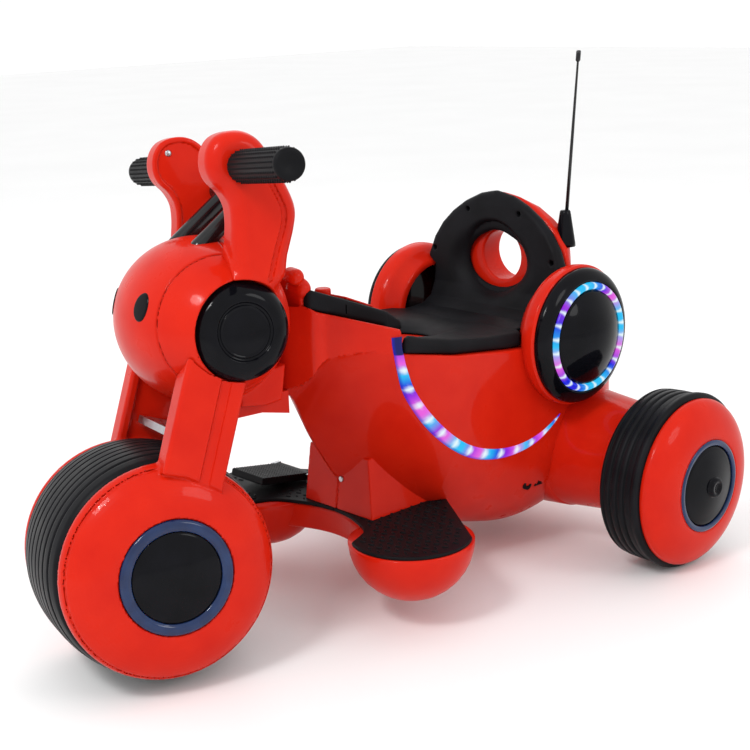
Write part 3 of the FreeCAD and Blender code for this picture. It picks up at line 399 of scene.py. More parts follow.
def studio():
    """A white room: a pale floor, broad soft lights and a cluster of small ceiling spots."""
    scene = bpy.context.scene
    scene.view_settings.view_transform = "Standard"
    world = bpy.data.worlds.new("room")
    world.use_nodes = True
    sky = world.node_tree.nodes["Background"]
    sky.inputs["Color"].default_value = (1, 1, 1, 1)
    sky.inputs["Strength"].default_value = 1.05
    scene.world = world
    mesh = bpy.data.meshes.new("floor")
    half = 12.0
    corners = [(-half, -half, 0), (half, -half, 0), (half, half, 0), (-half, half, 0)]
    mesh.from_pydata(corners, [], [(0, 1, 2, 3)])
    mesh.materials.append(finish("floor", (0.92, 0.92, 0.92), (0.90, 0.90, 0.90), 0.6, 0.05, grain=0.02,
                                 depth=0.0001, patch=0.5))
    floor = bpy.data.objects.new("floor", mesh)
    scene.collection.objects.link(floor)
    for name, spot, span, power in (
            ("key", (0.4, -1.9, 2.2), 0.7, 20.0),
            ("fill", (2.4, 0.6, 1.6), 0.9, 9.0),
            ("rim", (-1.6, 1.6, 2.0), 1.6, 9.0)):
        soft_light(name, spot, span, power)
    for row in range(3):
        for column in range(3):
            spot = (0.55 + 0.16 * column, -2.3 + 0.10 * column, 2.55 + 0.20 * row)
            soft_light(f"ceiling_{row}{column}", spot, 0.05, 1.3)


def soft_light(name, spot, span, power, aim=(0, 0, 0.25)):
    """A round area light at a spot, turned towards the object's middle."""
    light = bpy.data.lights.new(name, "AREA")
    light.shape = "DISK"
    light.size = span
    light.energy = power
    lamp = bpy.data.objects.new(name, light)
    lamp.location = spot
    lamp.rotation_euler = (Vector(aim) - Vector(spot)).to_track_quat("-Z", "Y").to_euler()
    bpy.context.scene.collection.objects.link(lamp)


def camera():
    """A camera in front of the rider's left side, rolled a little."""
    azimuth, pitch, roll = (math.radians(value) for value in (47.07, 14.93, -2.014))
    ahead = Vector((-math.sin(azimuth) * math.cos(pitch), math.cos(azimuth) * math.cos(pitch),
                    -math.sin(pitch)))
    level = ahead.cross(Vector((0, 0, 1))).normalized()
    upright = level.cross(ahead)
    right = math.cos(roll) * level + math.sin(roll) * upright
    up = -math.sin(roll) * level + math.cos(roll) * upright
    lens = bpy.data.cameras.new("camera")
    lens.lens = 69.04
    lens.sensor_width = 36.0
    lens.clip_start = 0.01
    eye = bpy.data.objects.new("camera", lens)
    turn = Matrix((right, up, -ahead)).transposed().to_4x4()
    eye.matrix_world = Matrix.Translation((1.1941, -1.06495, 0.6814)) @ turn
    bpy.context.scene.collection.objects.link(eye)
    bpy.context.scene.camera = eye


# ---------------------------------------------------------------- steering

HEAD_CENTRE = (0, -201, 357)
HEAD_RADII = (121.5, 87.4, 87.4)
SEAM_POINT = (-210, 357)
SEAM_LEAN = math.radians(17)
SEAM_GAP = 0.15
SPEAKER_CENTRE = (0, -192, 351)
SPEAKER_BORE = 50.9
WHEEL_CENTRE = (0, -290, 120.05)
GRIP_AXIS = (0, -177, 511)

STALK_INNER = 74
STALK_OUTER = 109
STALK_OUTLINE = (
    (-186, 385), (-192, 412), (-193, 435), (-190, 456), (-190, 474), (-196, 488), (-206, 500), (-210, 513),
    (-208, 528), (-200, 540), (-188, 545.5), (-173, 546), (-160, 541), (-149, 530), (-138, 508), (-127, 484),
    (-122, 465), (-125, 447), (-135, 420), (-145, 394))
STALK_GROOVE = ((0, -152, 500), (0, -143, 480), (0, -138, 464), (0, -141, 448), (0, -150, 426),
                (0, -160, 398))
SIDE_SEAM = 72
JAW_OUTLINE = ((-178, 290), (-178, 262), (-150, 259), (-131, 262), (-123, 300))


def seam_side(y, z):
    """How far a point lies behind the leaning plane where the head's two shells meet."""
    return (y - SEAM_POINT[0]) * math.cos(SEAM_LEAN) - (z - SEAM_POINT[1]) * math.sin(SEAM_LEAN)


def stalk(x, y, z):
    """Both handle stalks: flat inside, well rounded outside, with a groove down the outer face."""
    outline = polygon(y, z, curve(STALK_OUTLINE, per_span=4))
    across = np.abs(x)
    outer_edge, groove_radius, groove_depth, groove_inner = 15, 2.6, 2.4, 88
    dish_rim, dish_depth = 6, 1.4
    both = overlap(slab(outline, x, STALK_OUTER, outer_edge), STALK_INNER - across, 3)
    line = tube(0 * y, y, z, curve(STALK_GROOVE, closed=False, per_span=3), groove_radius)
    line = np.maximum(line, groove_inner - across)
    both = carve(both, np.maximum(line, -both - groove_depth), 1.5)
    dish = np.maximum(outline + dish_rim, across - STALK_INNER - dish_depth)
    return carve(both, dish, 1.5)


def ball(x, y, z):
    """The round head, grooved where its side pieces meet the middle."""
    whole = ellipsoid(x, y, z, HEAD_CENTRE, HEAD_RADII)
    groove_half, groove_depth = 0.9, 1.6
    groove = np.maximum(np.abs(np.abs(x) - SIDE_SEAM) - groove_half, -whole - groove_depth)
    return carve(whole, groove, 0.8)


def bezel_room(y, z):
    """A bore along X around the speakers' bezels."""
    return np.hypot(y - SPEAKER_CENTRE[1], z - SPEAKER_CENTRE[2]) - SPEAKER_BORE


def speaker_bore(x, y, z):
    """The room for the speakers on both sides of the head."""
    inner_end = 78
    return np.maximum(bezel_room(y, z), inner_end - np.abs(x))


def head():
    """The front and rear shells of the round head; both stalks grow out of the rear one."""
    step, stalk_gap, stalk_fillet, jaw_half = 1.9, 1.5, 14, 30

    def front(x, y, z):
        half = overlap(ball(x, y, z), seam_side(y, z) + SEAM_GAP, 2)
        return carve(carve(half, stalk(x, y, z) - stalk_gap, 1), speaker_bore(x, y, z), 2)

    def rear(x, y, z):
        half = overlap(ball(x, y, z), SEAM_GAP - seam_side(y, z), 2)
        jaw = overlap(polygon(y, z, JAW_OUTLINE), np.abs(x) - jaw_half, 4)
        whole = join(join(half, stalk(x, y, z), stalk_fillet), jaw, 5)
        return carve(whole, speaker_bore(x, y, z), 2)

    piece = solid("head_front", front, (-124, -291, 266), (124, -176, 448), step, "steering", RED, True)
    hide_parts("head_front_shell")
    piece = solid("head_rear_and_stalks", rear, (-124, -240, 256), (124, -106, 553), step, "steering", RED,
                  True)
    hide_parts("head_rear_shell", "handle_stalk_left", "handle_stalk_right")


def lamps():
    """Two plain oval lenses on the front of the head."""
    proud, sunk = 1.2, 3

    def lenses(x, y, z):
        skin = ellipsoid(x, y, z, HEAD_CENTRE, [radius + proud for radius in HEAD_RADII])
        oval = ellipsoid(np.abs(x), 0 * y, z, (48, 0, 383), (11, 1, 14))
        behind = sunk + ellipsoid(x, y, z, HEAD_CENTRE, HEAD_RADII)
        return np.maximum(overlap(overlap(skin, oval, 2), -behind, 1), y - HEAD_CENTRE[1])

    piece = solid("lamp_pair", lenses, (-62, -292, 366), (62, -262, 400), 1.0, "steering", GLOSS, True)
    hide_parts("lamp_lenses")


def speakers():
    """Convex gloss bezels with a grooved ring round a slightly domed middle."""
    profile = rounded([(84, 0, 0), (84, 50, 0), (98, 50, 2), (104, 45.5, 6), (109, 38, 6), (110, 30, 2.5),
                       (107.5, 28.6, 0.8), (107, 26.6, 0.5), (108.4, 25.6, 0.8), (107.6, 23.4, 0.8),
                       (109, 12, 5), (109.4, 0, 0)])
    pieces = [turned(f"speaker_{name}", profile, SPEAKER_CENTRE, side, "steering", GLOSS, True, 160)
              for name, side in SIDES]
    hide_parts("speaker_bezels", "speaker_cones")


def grips():
    """Moulded grips with a smooth collar and rows of small rounded studs."""
    start, collar_end, studs_start, studs_end, end = 100, 108, 112, 228, 233
    radius, collar_height = 15.2, 0.8
    rows, around, height = 20, 20, 2.0
    steps_per_stud = 6
    for name, side in SIDES:
        outs = np.concatenate([[start, collar_end - 1, collar_end + 1],
                               np.linspace(studs_start, studs_end, rows * steps_per_stud + 1),
                               [end - 2, end - 0.6]])
        profile = [(out, radius + collar_height if out < collar_end else radius) for out in outs]
        profile[-2:] = [(end - 2, radius), (end - 0.4, radius - 1.2)]
        profile += [(end, radius - 3), (end, 6), (end - 1, 4.5), (end - 1, 0)]
        points, faces = lathe([(start, 0)] + profile, (0, 0, 0), side, around * steps_per_stud,
                              closed=False)
        out = side * points[:, 0]
        angle = np.arctan2(points[:, 2], points[:, 1])
        phase = (out - studs_start) / (studs_end - studs_start) * rows * 2 * math.pi
        along = np.clip(np.sin(phase), 0, 1) ** 0.5
        across = np.clip(np.sin(angle * around), 0, 1) ** 0.5
        studded = (out > studs_start) & (out < studs_end)
        lift = 1 + np.where(studded, along * across * height, 0) / radius
        points[:, 1:] *= lift[:, None]
        piece = add_mesh(f"grip_studs_{name}", points + np.array(GRIP_AXIS), faces, "steering", GRIP, True)
        weld(piece)
        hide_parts(f"grip_{name}")


def handlebar():
    """The black tube between the stalks: a cross bar on two legs that rise from the head."""
    leg_x, bar_x, radius = 38, 78, 9.5

    def field(x, y, z):
        legs = tube(np.abs(x), y, z, ((leg_x, -206, 434), (leg_x, -140, 484)), radius)
        bar = tube(x, y, z, ((-bar_x, -140, 484), (bar_x, -140, 484)), radius)
        return join(legs, bar, 5)

    piece = solid("handlebar_brace", field, (-90, -218, 422), (90, -127, 497), 2.0, "steering", TUBE, True)
    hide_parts("handlebar_tubes")


RAKE = math.radians(20)
AXIS_FOOT_Y = -270
LEG_INNER, LEG_OUTER = 71.5, 99.5
COVER_EDGE, COVER_DOME = 71.5, 105.0
COVER_RADIUS, RING_RADIUS = 111.0, 58.7


def raked(y, z):
    """Distances behind the steering axis and along it, from the axis's foot."""
    back = (y - AXIS_FOOT_Y) * math.cos(RAKE) - (z - WHEEL_CENTRE[2]) * math.sin(RAKE)
    along = (y - AXIS_FOOT_Y) * math.sin(RAKE) + (z - WHEEL_CENTRE[2]) * math.cos(RAKE)
    return back, along


def fork_side(x, y, z):
    """One fork leg with the domed cover that it ends in, on the +X side."""
    back, along = raked(y, z)
    radius = np.hypot(y - WHEEL_CENTRE[1], z - WHEEL_CENTRE[2])
    dome = [(COVER_EDGE, 0), (COVER_EDGE, COVER_RADIUS - 1), (COVER_EDGE + 1, COVER_RADIUS),
            (COVER_EDGE + 5, COVER_RADIUS)]
    for share in np.linspace(0.08, 1, 14):
        out = COVER_EDGE + 5 + (COVER_DOME - COVER_EDGE - 5) * math.sin(share * math.pi / 2) ** 0.9
        inward = (1 - math.cos(share * math.pi / 2)) ** 0.75
        dome.append((out, COVER_RADIUS + (RING_RADIUS - COVER_RADIUS) * inward))
    dome += [(COVER_DOME - 6, RING_RADIUS), (COVER_DOME - 6, 0)]
    cover = polygon(x, radius, dome)
    groove_radius, groove_half, groove_depth = 106.5, 0.8, 1.2
    groove = np.maximum(np.abs(radius - groove_radius) - groove_half, -cover - groove_depth)
    cover = carve(cover, groove, 0.8)
    blank = polygon(back, along, ((-54, 90), (-30, 91), (-4, 86), (11, 82), (11, 215), (-54, 215)))
    leg = slab(blank, x - (LEG_INNER + LEG_OUTER) / 2, (LEG_OUTER - LEG_INNER) / 2, 4)
    flute = slab(np.abs(back + 10) - 5.5, x - LEG_OUTER, 2.2, 1)
    leg = carve(leg, flute, 1.5)
    hollow = slab(np.abs(back + 22) - 22, x - LEG_INNER, 5, 2)
    leg = carve(leg, hollow, 2)
    leg = carve(leg, ellipsoid(x, y, z, HEAD_CENTRE, [value + 0.8 for value in HEAD_RADII]), 1)
    leg = carve(leg, bezel_room(y, z), 1)
    inside_cover = -np.maximum(radius - 90, 0)
    return join(cover, np.maximum(leg, inside_cover), 3)


def fork():
    """Both fork sides, each with its blue ring and gloss cap."""
    for name, side in SIDES:
        def field(x, y, z, side=side):
            return fork_side(side * x, y, z)

        low, high = sorted((side * 69, side * 108))
        piece = solid(f"fork_{name}", field, (low, -404, 6), (high, -150, 334), 2.0, "steering", RED, True)
        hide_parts(f"fork_cover_{name}")
    ring = rounded([(97, 46.5, 0), (97, 58.4, 0), (105.4, 58.4, 1.5), (107.4, 55.5, 1.5), (107.6, 50, 1.5),
                    (105.5, 46.5, 1)])
    cap = [(97, 0), (97, 46.2), (104.6, 46.2)]
    cap += [(105.4 + 6 * (1 - (radius / 46.2) ** 2), radius) for radius in np.linspace(45.6, 0, 16)]
    rings = [turned(f"front_ring_{name}", ring, WHEEL_CENTRE, side, "steering", NAVY, True, 128)
             for name, side in SIDES]
    caps = [turned(f"front_cap_{name}", cap, WHEEL_CENTRE, side, "steering", GLOSS, True, 128)
            for name, side in SIDES]
    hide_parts("front_hub_rings")
    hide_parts("front_hub_caps")


# ---------------------------------------------------------------- wheels

def grooved(tread, grooves, width, depth):
    """A tread's profile (distance out, radius) with square-cut grooves at the given distances."""
    tread = np.asarray(tread, float)

    def radius_at(out):
        return float(np.interp(out, tread[:, 0], tread[:, 1]))

    points = [tuple(point) for point in tread if all(abs(point[0] - groove) > width for groove in grooves)]
    for groove in grooves:
        edge, floor, top = width / 2, width / 2 - 0.4, radius_at(groove)
        before, after = groove - edge - 0.6, groove + edge + 0.6
        points += [(before, radius_at(before)), (groove - edge, top - 0.5), (groove - floor, top - depth),
                   (groove + floor, top - depth), (groove + edge, top - 0.5), (after, radius_at(after))]
    return sorted(points)


def front_tyre():
    """The wide ribbed tyre between the two covers."""
    half = 68
    tread = []
    for out in np.linspace(-half, half, half + 1):
        share = abs(out) / half
        tread.append((out, 118 - 7.0 * share ** 3.2 - 5 * max(share - 0.93, 0) / 0.07))
    profile = grooved(tread, (-50, -36, -22, -8, 8, 22, 36, 50), 3.2, 3.0)
    profile = [(-61, 84), (-68, 84), (-68, 102)] + profile + [(68, 102), (68, 84), (61, 84)]
    piece = turned("front_tyre_ribbed", profile, WHEEL_CENTRE, 1, "front_wheel", TYRE, True, 192)
    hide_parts("front_tyre")


REAR_CENTRE = (0, 302, 106.3)


def rear_wheels():
    """Each rear wheel: ribbed tyre with an outer flange, domed disc, blue ring and dished cap."""
    tread = [(204, 96), (206, 100), (209, 102.6), (215, 103.6), (228, 104.2), (240, 104.2), (250, 103.6),
             (252.5, 103.2), (253.5, 106), (258, 106.3), (260.5, 105.4), (262, 102.5)]
    tyre = [(210, 78), (204, 80)] + grooved(tread, (212.5, 222.5, 232.5, 242.5), 2.8, 2.6) + [(262, 78)]
    disc = [(262.1, 70), (262.1, 99), (263.4, 100.4), (266.5, 100.6)]
    for share in np.linspace(0.06, 1, 16):
        out = 266.5 + 22.5 * math.sin(share * math.pi / 2) ** 0.95
        disc.append((out, 100.6 - (100.6 - 55.6) * (1 - math.cos(share * math.pi / 2)) ** 0.8))
    disc += [(284, 55.6), (284, 20), (276, 20), (268, 70)]
    ring = rounded([(284, 48.6, 0), (284, 55.4, 0), (289.4, 55.4, 1), (290.6, 53, 1), (290.2, 49.4, 1),
                    (288.6, 48.6, 0.6)])
    cap = [(284, 0), (284, 48.3), (288, 48.3), (289.2, 46)]
    cap += [(289.2 + 7.6 * math.cos(radius / 46 * math.pi / 2) ** 1.1, radius)
            for radius in (42, 36, 30, 24, 18, 13)]
    cap += [(296.2, 12), (300.4, 11.4), (301.4, 10), (301.4, 6.4), (299.4, 5.6), (299.2, 0)]
    for name, side in SIDES:
        body = f"rear_wheel_{name}"
        for label, profile, material, node in (
                ("tyre_ribbed", tyre, TYRE, "rear_tyre"), ("disc_domed", disc, RED, "rear_disc"),
                ("ring", ring, NAVY, "rear_hub_ring"), ("cap_dished", cap, GLOSS, "rear_hub_cap")):
            piece = turned(f"rear_{label}_{name}", profile, REAR_CENTRE, side, body, material, False, 192)
            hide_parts(f"{node}_{name}")


# ---------------------------------------------------------------- body

# y, half width, z where the side starts to round in, and bottom z
HULL_STATIONS = np.array((
    (-114, 24, 266, 256), (-106, 42, 272, 256), (-100, 55, 282, 255), (-94, 59, 294, 251),
    (-84, 61, 300, 240),
    (-72, 74, 304, 212), (-55, 88, 306, 181), (-17, 108, 300, 126), (20, 113, 266, 95), (60, 117, 230, 72),
    (105, 119, 203, 52), (150, 120, 180, 36), (220, 119, 150, 20), (290, 111, 150, 26), (345, 100, 150, 46),
    (384, 80, 150, 78)), float)
HULL_FRONT, HULL_BACK = -114, 383
# Sections go from nearly straight-sided at the bow to elliptical further back.
BOW_Y, BOW_POWER = (-90, -72, -17, 60), (0.9, 0.95, 1.35, 2.0)


def hull_sizes(y, column):
    """A station value read off a smooth line along the body."""
    line = curve(HULL_STATIONS[:, (0, column)], closed=False, per_span=8)
    return np.interp(y, line[:, 0], line[:, 1])


def hull(x, y, z):
    """The boat-shaped body under its saddle and console."""
    half, side, low = (hull_sizes(y, column) for column in (1, 2, 3))
    deep = side - low
    power = np.interp(y, BOW_Y, BOW_POWER)
    drop = np.maximum((side - z) / deep, 0.01)
    wide = np.maximum(np.abs(x) / half, 0.01)
    near = (wide ** power + drop ** power) ** (1 / power)
    steep = near ** (1 - power) * np.hypot(wide ** (power - 1) / half, drop ** (power - 1) / deep)
    belly = (near - 1) / steep
    wall = np.where(z >= side, np.abs(x) - half, belly)
    return overlap(overlap(wall, HULL_FRONT - y, 3), y - HULL_BACK, 8)


def body():
    """The body shell with the ledge for its seat and a seam along its keel."""
    ledge = ((-200, 420), (-130, 380), (-94, 354), (-17, 327.5), (-15.5, 300.5), (60, 284.5), (150, 273.5),
             (220, 268.5), (290, 267), (345, 258), (400, 210), (400, -20), (-200, -20))

    def shell(x, y, z):
        whole = overlap(hull(x, y, z), polygon(y, z, ledge), 3)
        seam_half, seam_depth = 1.0, 1.2
        return carve(whole, np.maximum(np.abs(x) - seam_half, -whole - seam_depth), 1)

    piece = solid("body_moulded", shell, (-123, -118, 16), (123, 388, 358), 2.6, "root", RED)
    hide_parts("body_shell_left", "body_shell_right")


def pedestal():
    """The wedge that carries the body on its foot deck, with a seam down its front face."""
    side_view = ((-31, 100), (88, 100), (86, 104), (0, 172), (-20, 168))
    base_z, left_x, left_slope, right_x = 100, 65, 0.22, -52
    seam_x, seam_half, seam_depth = 3, 0.9, 1.2

    def wedge(x, y, z):
        sides = np.maximum(x - left_x + left_slope * (z - base_z), right_x - x)
        whole = overlap(polygon(y, z, side_view), sides, 2)
        seam = np.maximum(np.abs(x - seam_x) - seam_half, -whole - seam_depth)
        return carve(whole, np.maximum(seam, y), 0.8)

    piece = solid("pedestal_wedge", wedge, (-55, -35, 97), (68, 92, 176), 1.8, "root", RED)
    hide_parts("pedestal")


def neck():
    """The red cover behind the head, with its two rounded lugs."""
    side_view = ((-101, 285), (-92, 285), (-92, 384), (-99, 392), (-105, 392))
    half, lug_radius = 44, 9

    def cover(x, y, z):
        plate = slab(polygon(y, z, side_view), x, half, 3)
        lugs = np.minimum(tube(x, y, z, ((30, -104, 392), (41, -107, 392)), lug_radius),
                          tube(x, y, z, ((30, -98, 378), (42, -99, 378)), lug_radius))
        return join(plate, lugs, 4)

    piece = solid("neck_cover_lugged", cover, (-48, -120, 282), (54, -84, 404), 1.8, "root", RED)
    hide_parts("neck_cover")


def console():
    """Black console with red inserts and two round buttons on its sloping top."""
    side_view = ((-100, 356), (-94, 354.5), (-55, 340.5), (-17, 327.5), (-15, 323), (16, 316), (20, 317),
                 (16, 327), (-8, 342), (-55, 361), (-95, 377), (-101, 375))
    plan = ((-52, -104), (52, -104), (66, -60), (79, -12), (72, 20), (-72, 20), (-79, -12), (-66, -60))

    def block(x, y, z):
        return overlap(polygon(y, z, side_view), polygon(x, y, plan), 5)

    piece = solid("console_block", block, (-84, -108, 312), (84, 24, 381), 2.0, "root", BLACK)
    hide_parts("console")
    insert = ((-52, 361), (-12, 344.5), (-10, 346.2), (-51, 363.4))
    insert_x, insert_half = 44, 13

    def strip(x, y, z):
        return slab(polygon(y, z, insert), np.abs(x) - insert_x, insert_half, 1)

    solid("console_inserts", strip, (-60, -55, 341), (60, -6, 367), 1.4, "root", RED)
    button_x, button_y, button_radius, button_top, button_foot = 24, -55, 8.9, 369.5, 346
    for name, side in SIDES:
        def button(x, y, z, side=side):
            post = np.hypot(x - side * button_x, y - button_y) - button_radius
            return overlap(overlap(post, z - button_top, 3), button_foot - z, 1)

        low, high = sorted((side * 13, side * 35))
        piece = solid(f"button_{name}_cap", button, (low, -66, 344), (high, -44, 372), 1.0,
                      f"button_{name}", RED)
        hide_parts(f"sound_button_{name}")


BACK_OUTLINE = ((114, 250), (114, 300), (113.5, 330), (110, 350), (101, 374), (88, 393), (71, 409), (50, 423),
                (26, 434), (0, 440))
HOLE_Z = 356
HOLE_RADIUS = 32
SCREW_HOLES = ((42, 413), (97, 359))
POD_CENTRE = (0, 247, 276.5)
POD_GAP = 0.8


def back_outline():
    """The rounded front view of the backrest."""
    right = np.array(BACK_OUTLINE, float)
    left = right[-2::-1] * (-1, 1)
    return np.concatenate([right, left])


def pod_room(x, y, z):
    """The room that the side pods take out of the saddle and its back shell."""
    radius = np.hypot(y - POD_CENTRE[1], z - POD_CENTRE[2])
    form = ((95, 0), (95, 62), (108, 71), (117, 81.5), (126, 84.6), (190, 84.6), (190, 0))
    return polygon(np.abs(x), radius, form) - POD_GAP


def saddle():
    """One moulding: a seat with a soft dish, and a backrest with a round hole."""
    side_view = ((-14.7, 301), (60, 285), (150, 274), (220, 269), (262, 268), (266, 430), (262, 441),
                 (255, 441), (250, 420), (245, 360), (240, 318), (232, 300), (216, 291), (180, 289),
                 (120, 294), (60, 303), (10, 314), (-8, 320), (-14.7, 318))
    half = 114
    recess_radius, recess_slope, recess_edge, recess_floor = 45, 0.25, 252, 254
    screw_radius, screw_floor = 3.2, 258

    def moulding(x, y, z):
        block = overlap(polygon(y, z, side_view), polygon(x, z, back_outline()), 9)
        block = overlap(block, np.abs(x) - half, 4)
        block = carve(block, ellipsoid(x, y, z, (0, 130, 352), (92, 150, 64)), 12)
        from_hole = np.hypot(x, z - HOLE_Z)
        block = carve(block, from_hole - HOLE_RADIUS, 4)
        recess = from_hole - recess_radius - recess_slope * (recess_edge - y)
        block = carve(block, np.maximum(recess, y - recess_floor), 6)
        for spot_x, spot_z in SCREW_HOLES:
            screw = np.hypot(np.abs(x) - spot_x, z - spot_z) - screw_radius
            block = carve(block, np.maximum(screw, y - screw_floor), 1.5)
        return carve(block, pod_room(x, y, z), 1.5)

    piece = solid("saddle_moulded", moulding, (-117, -18, 264), (117, 270, 444), 2.2, "root", BLACK)
    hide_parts("saddle")


def backrest():
    """The red shell that closes the back of the backrest, with the hole's sleeve."""
    side_view = ((262, 268), (290, 267), (301, 296), (297, 370), (286, 420), (268, 440), (266, 430))
    plan = ((-112, 262), (112, 262), (104, 276), (76, 305), (-76, 305), (-104, 276))
    inset, taper, taper_start = 1.2, 0.12, 264

    def shell(x, y, z):
        outline = polygon(x, z, back_outline()) + inset + np.maximum(y - taper_start, 0) * taper
        block = overlap(polygon(y, z, side_view), outline, 9)
        block = overlap(block, polygon(x, y, plan), 9)
        block = carve(block, np.hypot(x, z - HOLE_Z) - HOLE_RADIUS + 1, 3)
        return carve(block, pod_room(x, y, z), 1.5)

    piece = solid("backrest_moulded", shell, (-113, 258, 264), (113, 309, 444), 2.2, "root", RED)
    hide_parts("backrest_shell")


# ---------------------------------------------------------------- lights

def glow_material():
    """A clear strip whose light comes from the colours stored on its own points."""
    material = bpy.data.materials.new("led_lens")
    material.use_nodes = True
    nodes, links = material.node_tree.nodes, material.node_tree.links
    shader = nodes["Principled BSDF"]
    colour = nodes.new("ShaderNodeAttribute")
    colour.attribute_name = "glow"
    links.new(colour.outputs["Color"], shader.inputs["Emission Color"])
    shader.inputs["Base Color"].default_value = (0.004, 0.006, 0.03, 1)
    shader.inputs["Specular IOR Level"].default_value = 0.15
    shader.inputs["Emission Strength"].default_value = 0.95
    shader.inputs["Roughness"].default_value = 0.2
    return material


LED = glow_material()
CYAN, BLUE, VIOLET, PINK = (0.02, 0.55, 0.95), (0.01, 0.02, 0.75), (0.35, 0.02, 0.75), (0.85, 0.12, 0.75)
WHITE_SPOT = (0.85, 1.0, 1.0)
NIGHT = (0.004, 0.006, 0.10)


def light_colours(along, cycle, lamps):
    """Colours for places along a strip from 0 to 1, and how far each is from a lamp, up to 1."""
    cycle = np.array(cycle, float)
    place = along * len(cycle)
    first = np.floor(place).astype(int) % len(cycle)
    share = (place - np.floor(place))[:, None]
    base = cycle[first] * (1 - share) + cycle[(first + 1) % len(cycle)] * share
    return base, np.abs((along * lamps) % 1 - 0.5) * 2


def paint(piece, colours):
    """Store one colour for each point of a piece."""
    layer = piece.data.attributes.new("glow", "FLOAT_COLOR", "POINT")
    flat = np.concatenate([colours, np.ones((len(colours), 1))], axis=1)
    layer.data.foreach_set("color", flat.ravel())


def pods():
    """Side pods: a thin red rim, a gloss dome, and a ring of coloured lamps let into it."""
    rim = rounded([(97, 60, 0), (109, 70, 8), (117, 80.5, 8), (126, 84.5, 4), (136, 84.5, 2), (138, 82, 1),
                   (138, 60, 0)])
    dome = [(138.1, 60), (138.1, 81.5), (142, 81.3), (145.5, 80), (148.8, 77), (151.2, 73), (152.6, 69.5),
            (153.2, 66.4), (151, 65.8), (150, 65.4), (150, 57), (152.5, 56.4)]
    dome += [(155 + 18.5 * math.cos(radius / 56 * math.pi / 2) ** 0.9, radius)
             for radius in (55.6, 53, 49, 43, 35, 25, 13, 0)]
    dome += [(140, 0)]
    lens = [(150, 57.2), (150, 65.2), (153.5, 65.2), (156.4, 63.6), (157.4, 61.2), (156.4, 58.8),
            (153.5, 57.2)]
    cycle = (CYAN, CYAN, PINK, BLUE, CYAN, CYAN, VIOLET, BLUE, CYAN, PINK, BLUE, BLUE, CYAN, CYAN, BLUE, PINK)
    lamp_count, lens_radius, segments = 24, 61.2, 288
    domes, rims, rings = [], [], []
    for name, side in SIDES:
        rims.append(turned(f"pod_rim_{name}", rim, POD_CENTRE, side, "root", RED, False, 160))
        domes.append(turned(f"pod_dome_{name}", dome, POD_CENTRE, side, "root", GLOSS, False, 160))
        points, faces = lathe(lens, POD_CENTRE, side, segments)
        ring = add_mesh(f"led_ring_{name}", points, faces, "root", LED)
        weld(ring)
        back, up = points[:, 1] - POD_CENTRE[1], points[:, 2] - POD_CENTRE[2]
        base, away = light_colours(np.arctan2(up, back) / (2 * math.pi) % 1, cycle, lamp_count)
        from_middle = np.abs(np.hypot(up, back) - lens_radius)
        spot = np.clip(1.25 - away * 2.6 - from_middle / 9, 0, 1)[:, None]
        paint(ring, base * (1 - spot) + np.array(WHITE_SPOT) * spot)
        rings.append(ring)
    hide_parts("pod_housings")
    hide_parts("pod_domes")
    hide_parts("led_rings")


STRIP_OUTER = ((-29, 320), (-28, 306), (-22, 284), (-8, 248), (24, 203), (62, 169), (103, 150), (150, 145),
               (196, 155), (238, 178))
STRIP_INNER = ((-17, 320), (-17, 306), (-11, 284), (4, 252), (34, 213), (69, 182), (108, 164), (152, 157.5),
               (196, 163), (238, 178))


def led_strips():
    """Crescent light strips laid along each flank, with a dark square at the front end."""
    across_steps, per_span, lamp_count = 8, 14, 14
    crown, let_in, root_depth, dark_end = 3.2, 0.6, 3.0, 0.055
    outer = curve(STRIP_OUTER, closed=False, per_span=per_span)
    inner = curve(STRIP_INNER, closed=False, per_span=per_span)
    count = len(outer)
    length = np.concatenate([[0], np.cumsum(np.hypot(*np.diff(outer, axis=0).T))])
    along = length / length[-1]
    cycle = (BLUE, VIOLET, PINK, CYAN, BLUE, VIOLET, PINK, PINK, CYAN, VIOLET, PINK, CYAN, CYAN, VIOLET, PINK,
             CYAN, BLUE, VIOLET, PINK, CYAN, VIOLET, PINK, CYAN, BLUE)
    for name, side in SIDES:
        points, colours = [], []
        base, away = light_colours(along, cycle, lamp_count)
        fade = np.minimum(1, np.linspace(count, 0, count) / 6) ** 0.5
        for step in range(across_steps + 1):
            share = step / across_steps
            line = outer * (1 - share) + inner * share
            proud = crown * math.sin(math.pi * share) ** 0.4 * fade
            points.append(flank(line[:, 0], line[:, 1], proud - let_in, side))
            spot = np.clip(1.3 - away * 2.4 - abs(share - 0.55) * 1.6, 0, 1)[:, None]
            tone = base * (1 - spot) + np.array(WHITE_SPOT) * spot
            tone = np.where(along[:, None] < dark_end, np.array(NIGHT), tone)
            edge = np.clip(1 - share * 4.5, 0, 1)
            colours.append(tone * (1 - edge) + np.array(BLUE) * 0.6 * edge)
        for step in (across_steps, 0):
            share = step / across_steps
            line = outer * (1 - share) + inner * share
            points.append(flank(line[:, 0], line[:, 1], np.full(count, -root_depth), side))
            colours.append(np.tile(NIGHT, (count, 1)))
        rows = len(points)
        grid = np.arange(rows * count).reshape(rows, count)
        faces = []
        for row in range(rows):
            near, far = grid[row], grid[(row + 1) % rows]
            faces += list(zip(near[:-1], near[1:], far[1:], far[:-1]))
        faces += [tuple(grid[:, 0]), tuple(grid[::-1, -1])]
        if side < 0:
            faces = [face[::-1] for face in faces]
        strip = add_mesh(f"led_strip_{name}", np.concatenate(points), faces, "root", LED)
        paint(strip, np.concatenate(colours))
    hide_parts("led_strips")


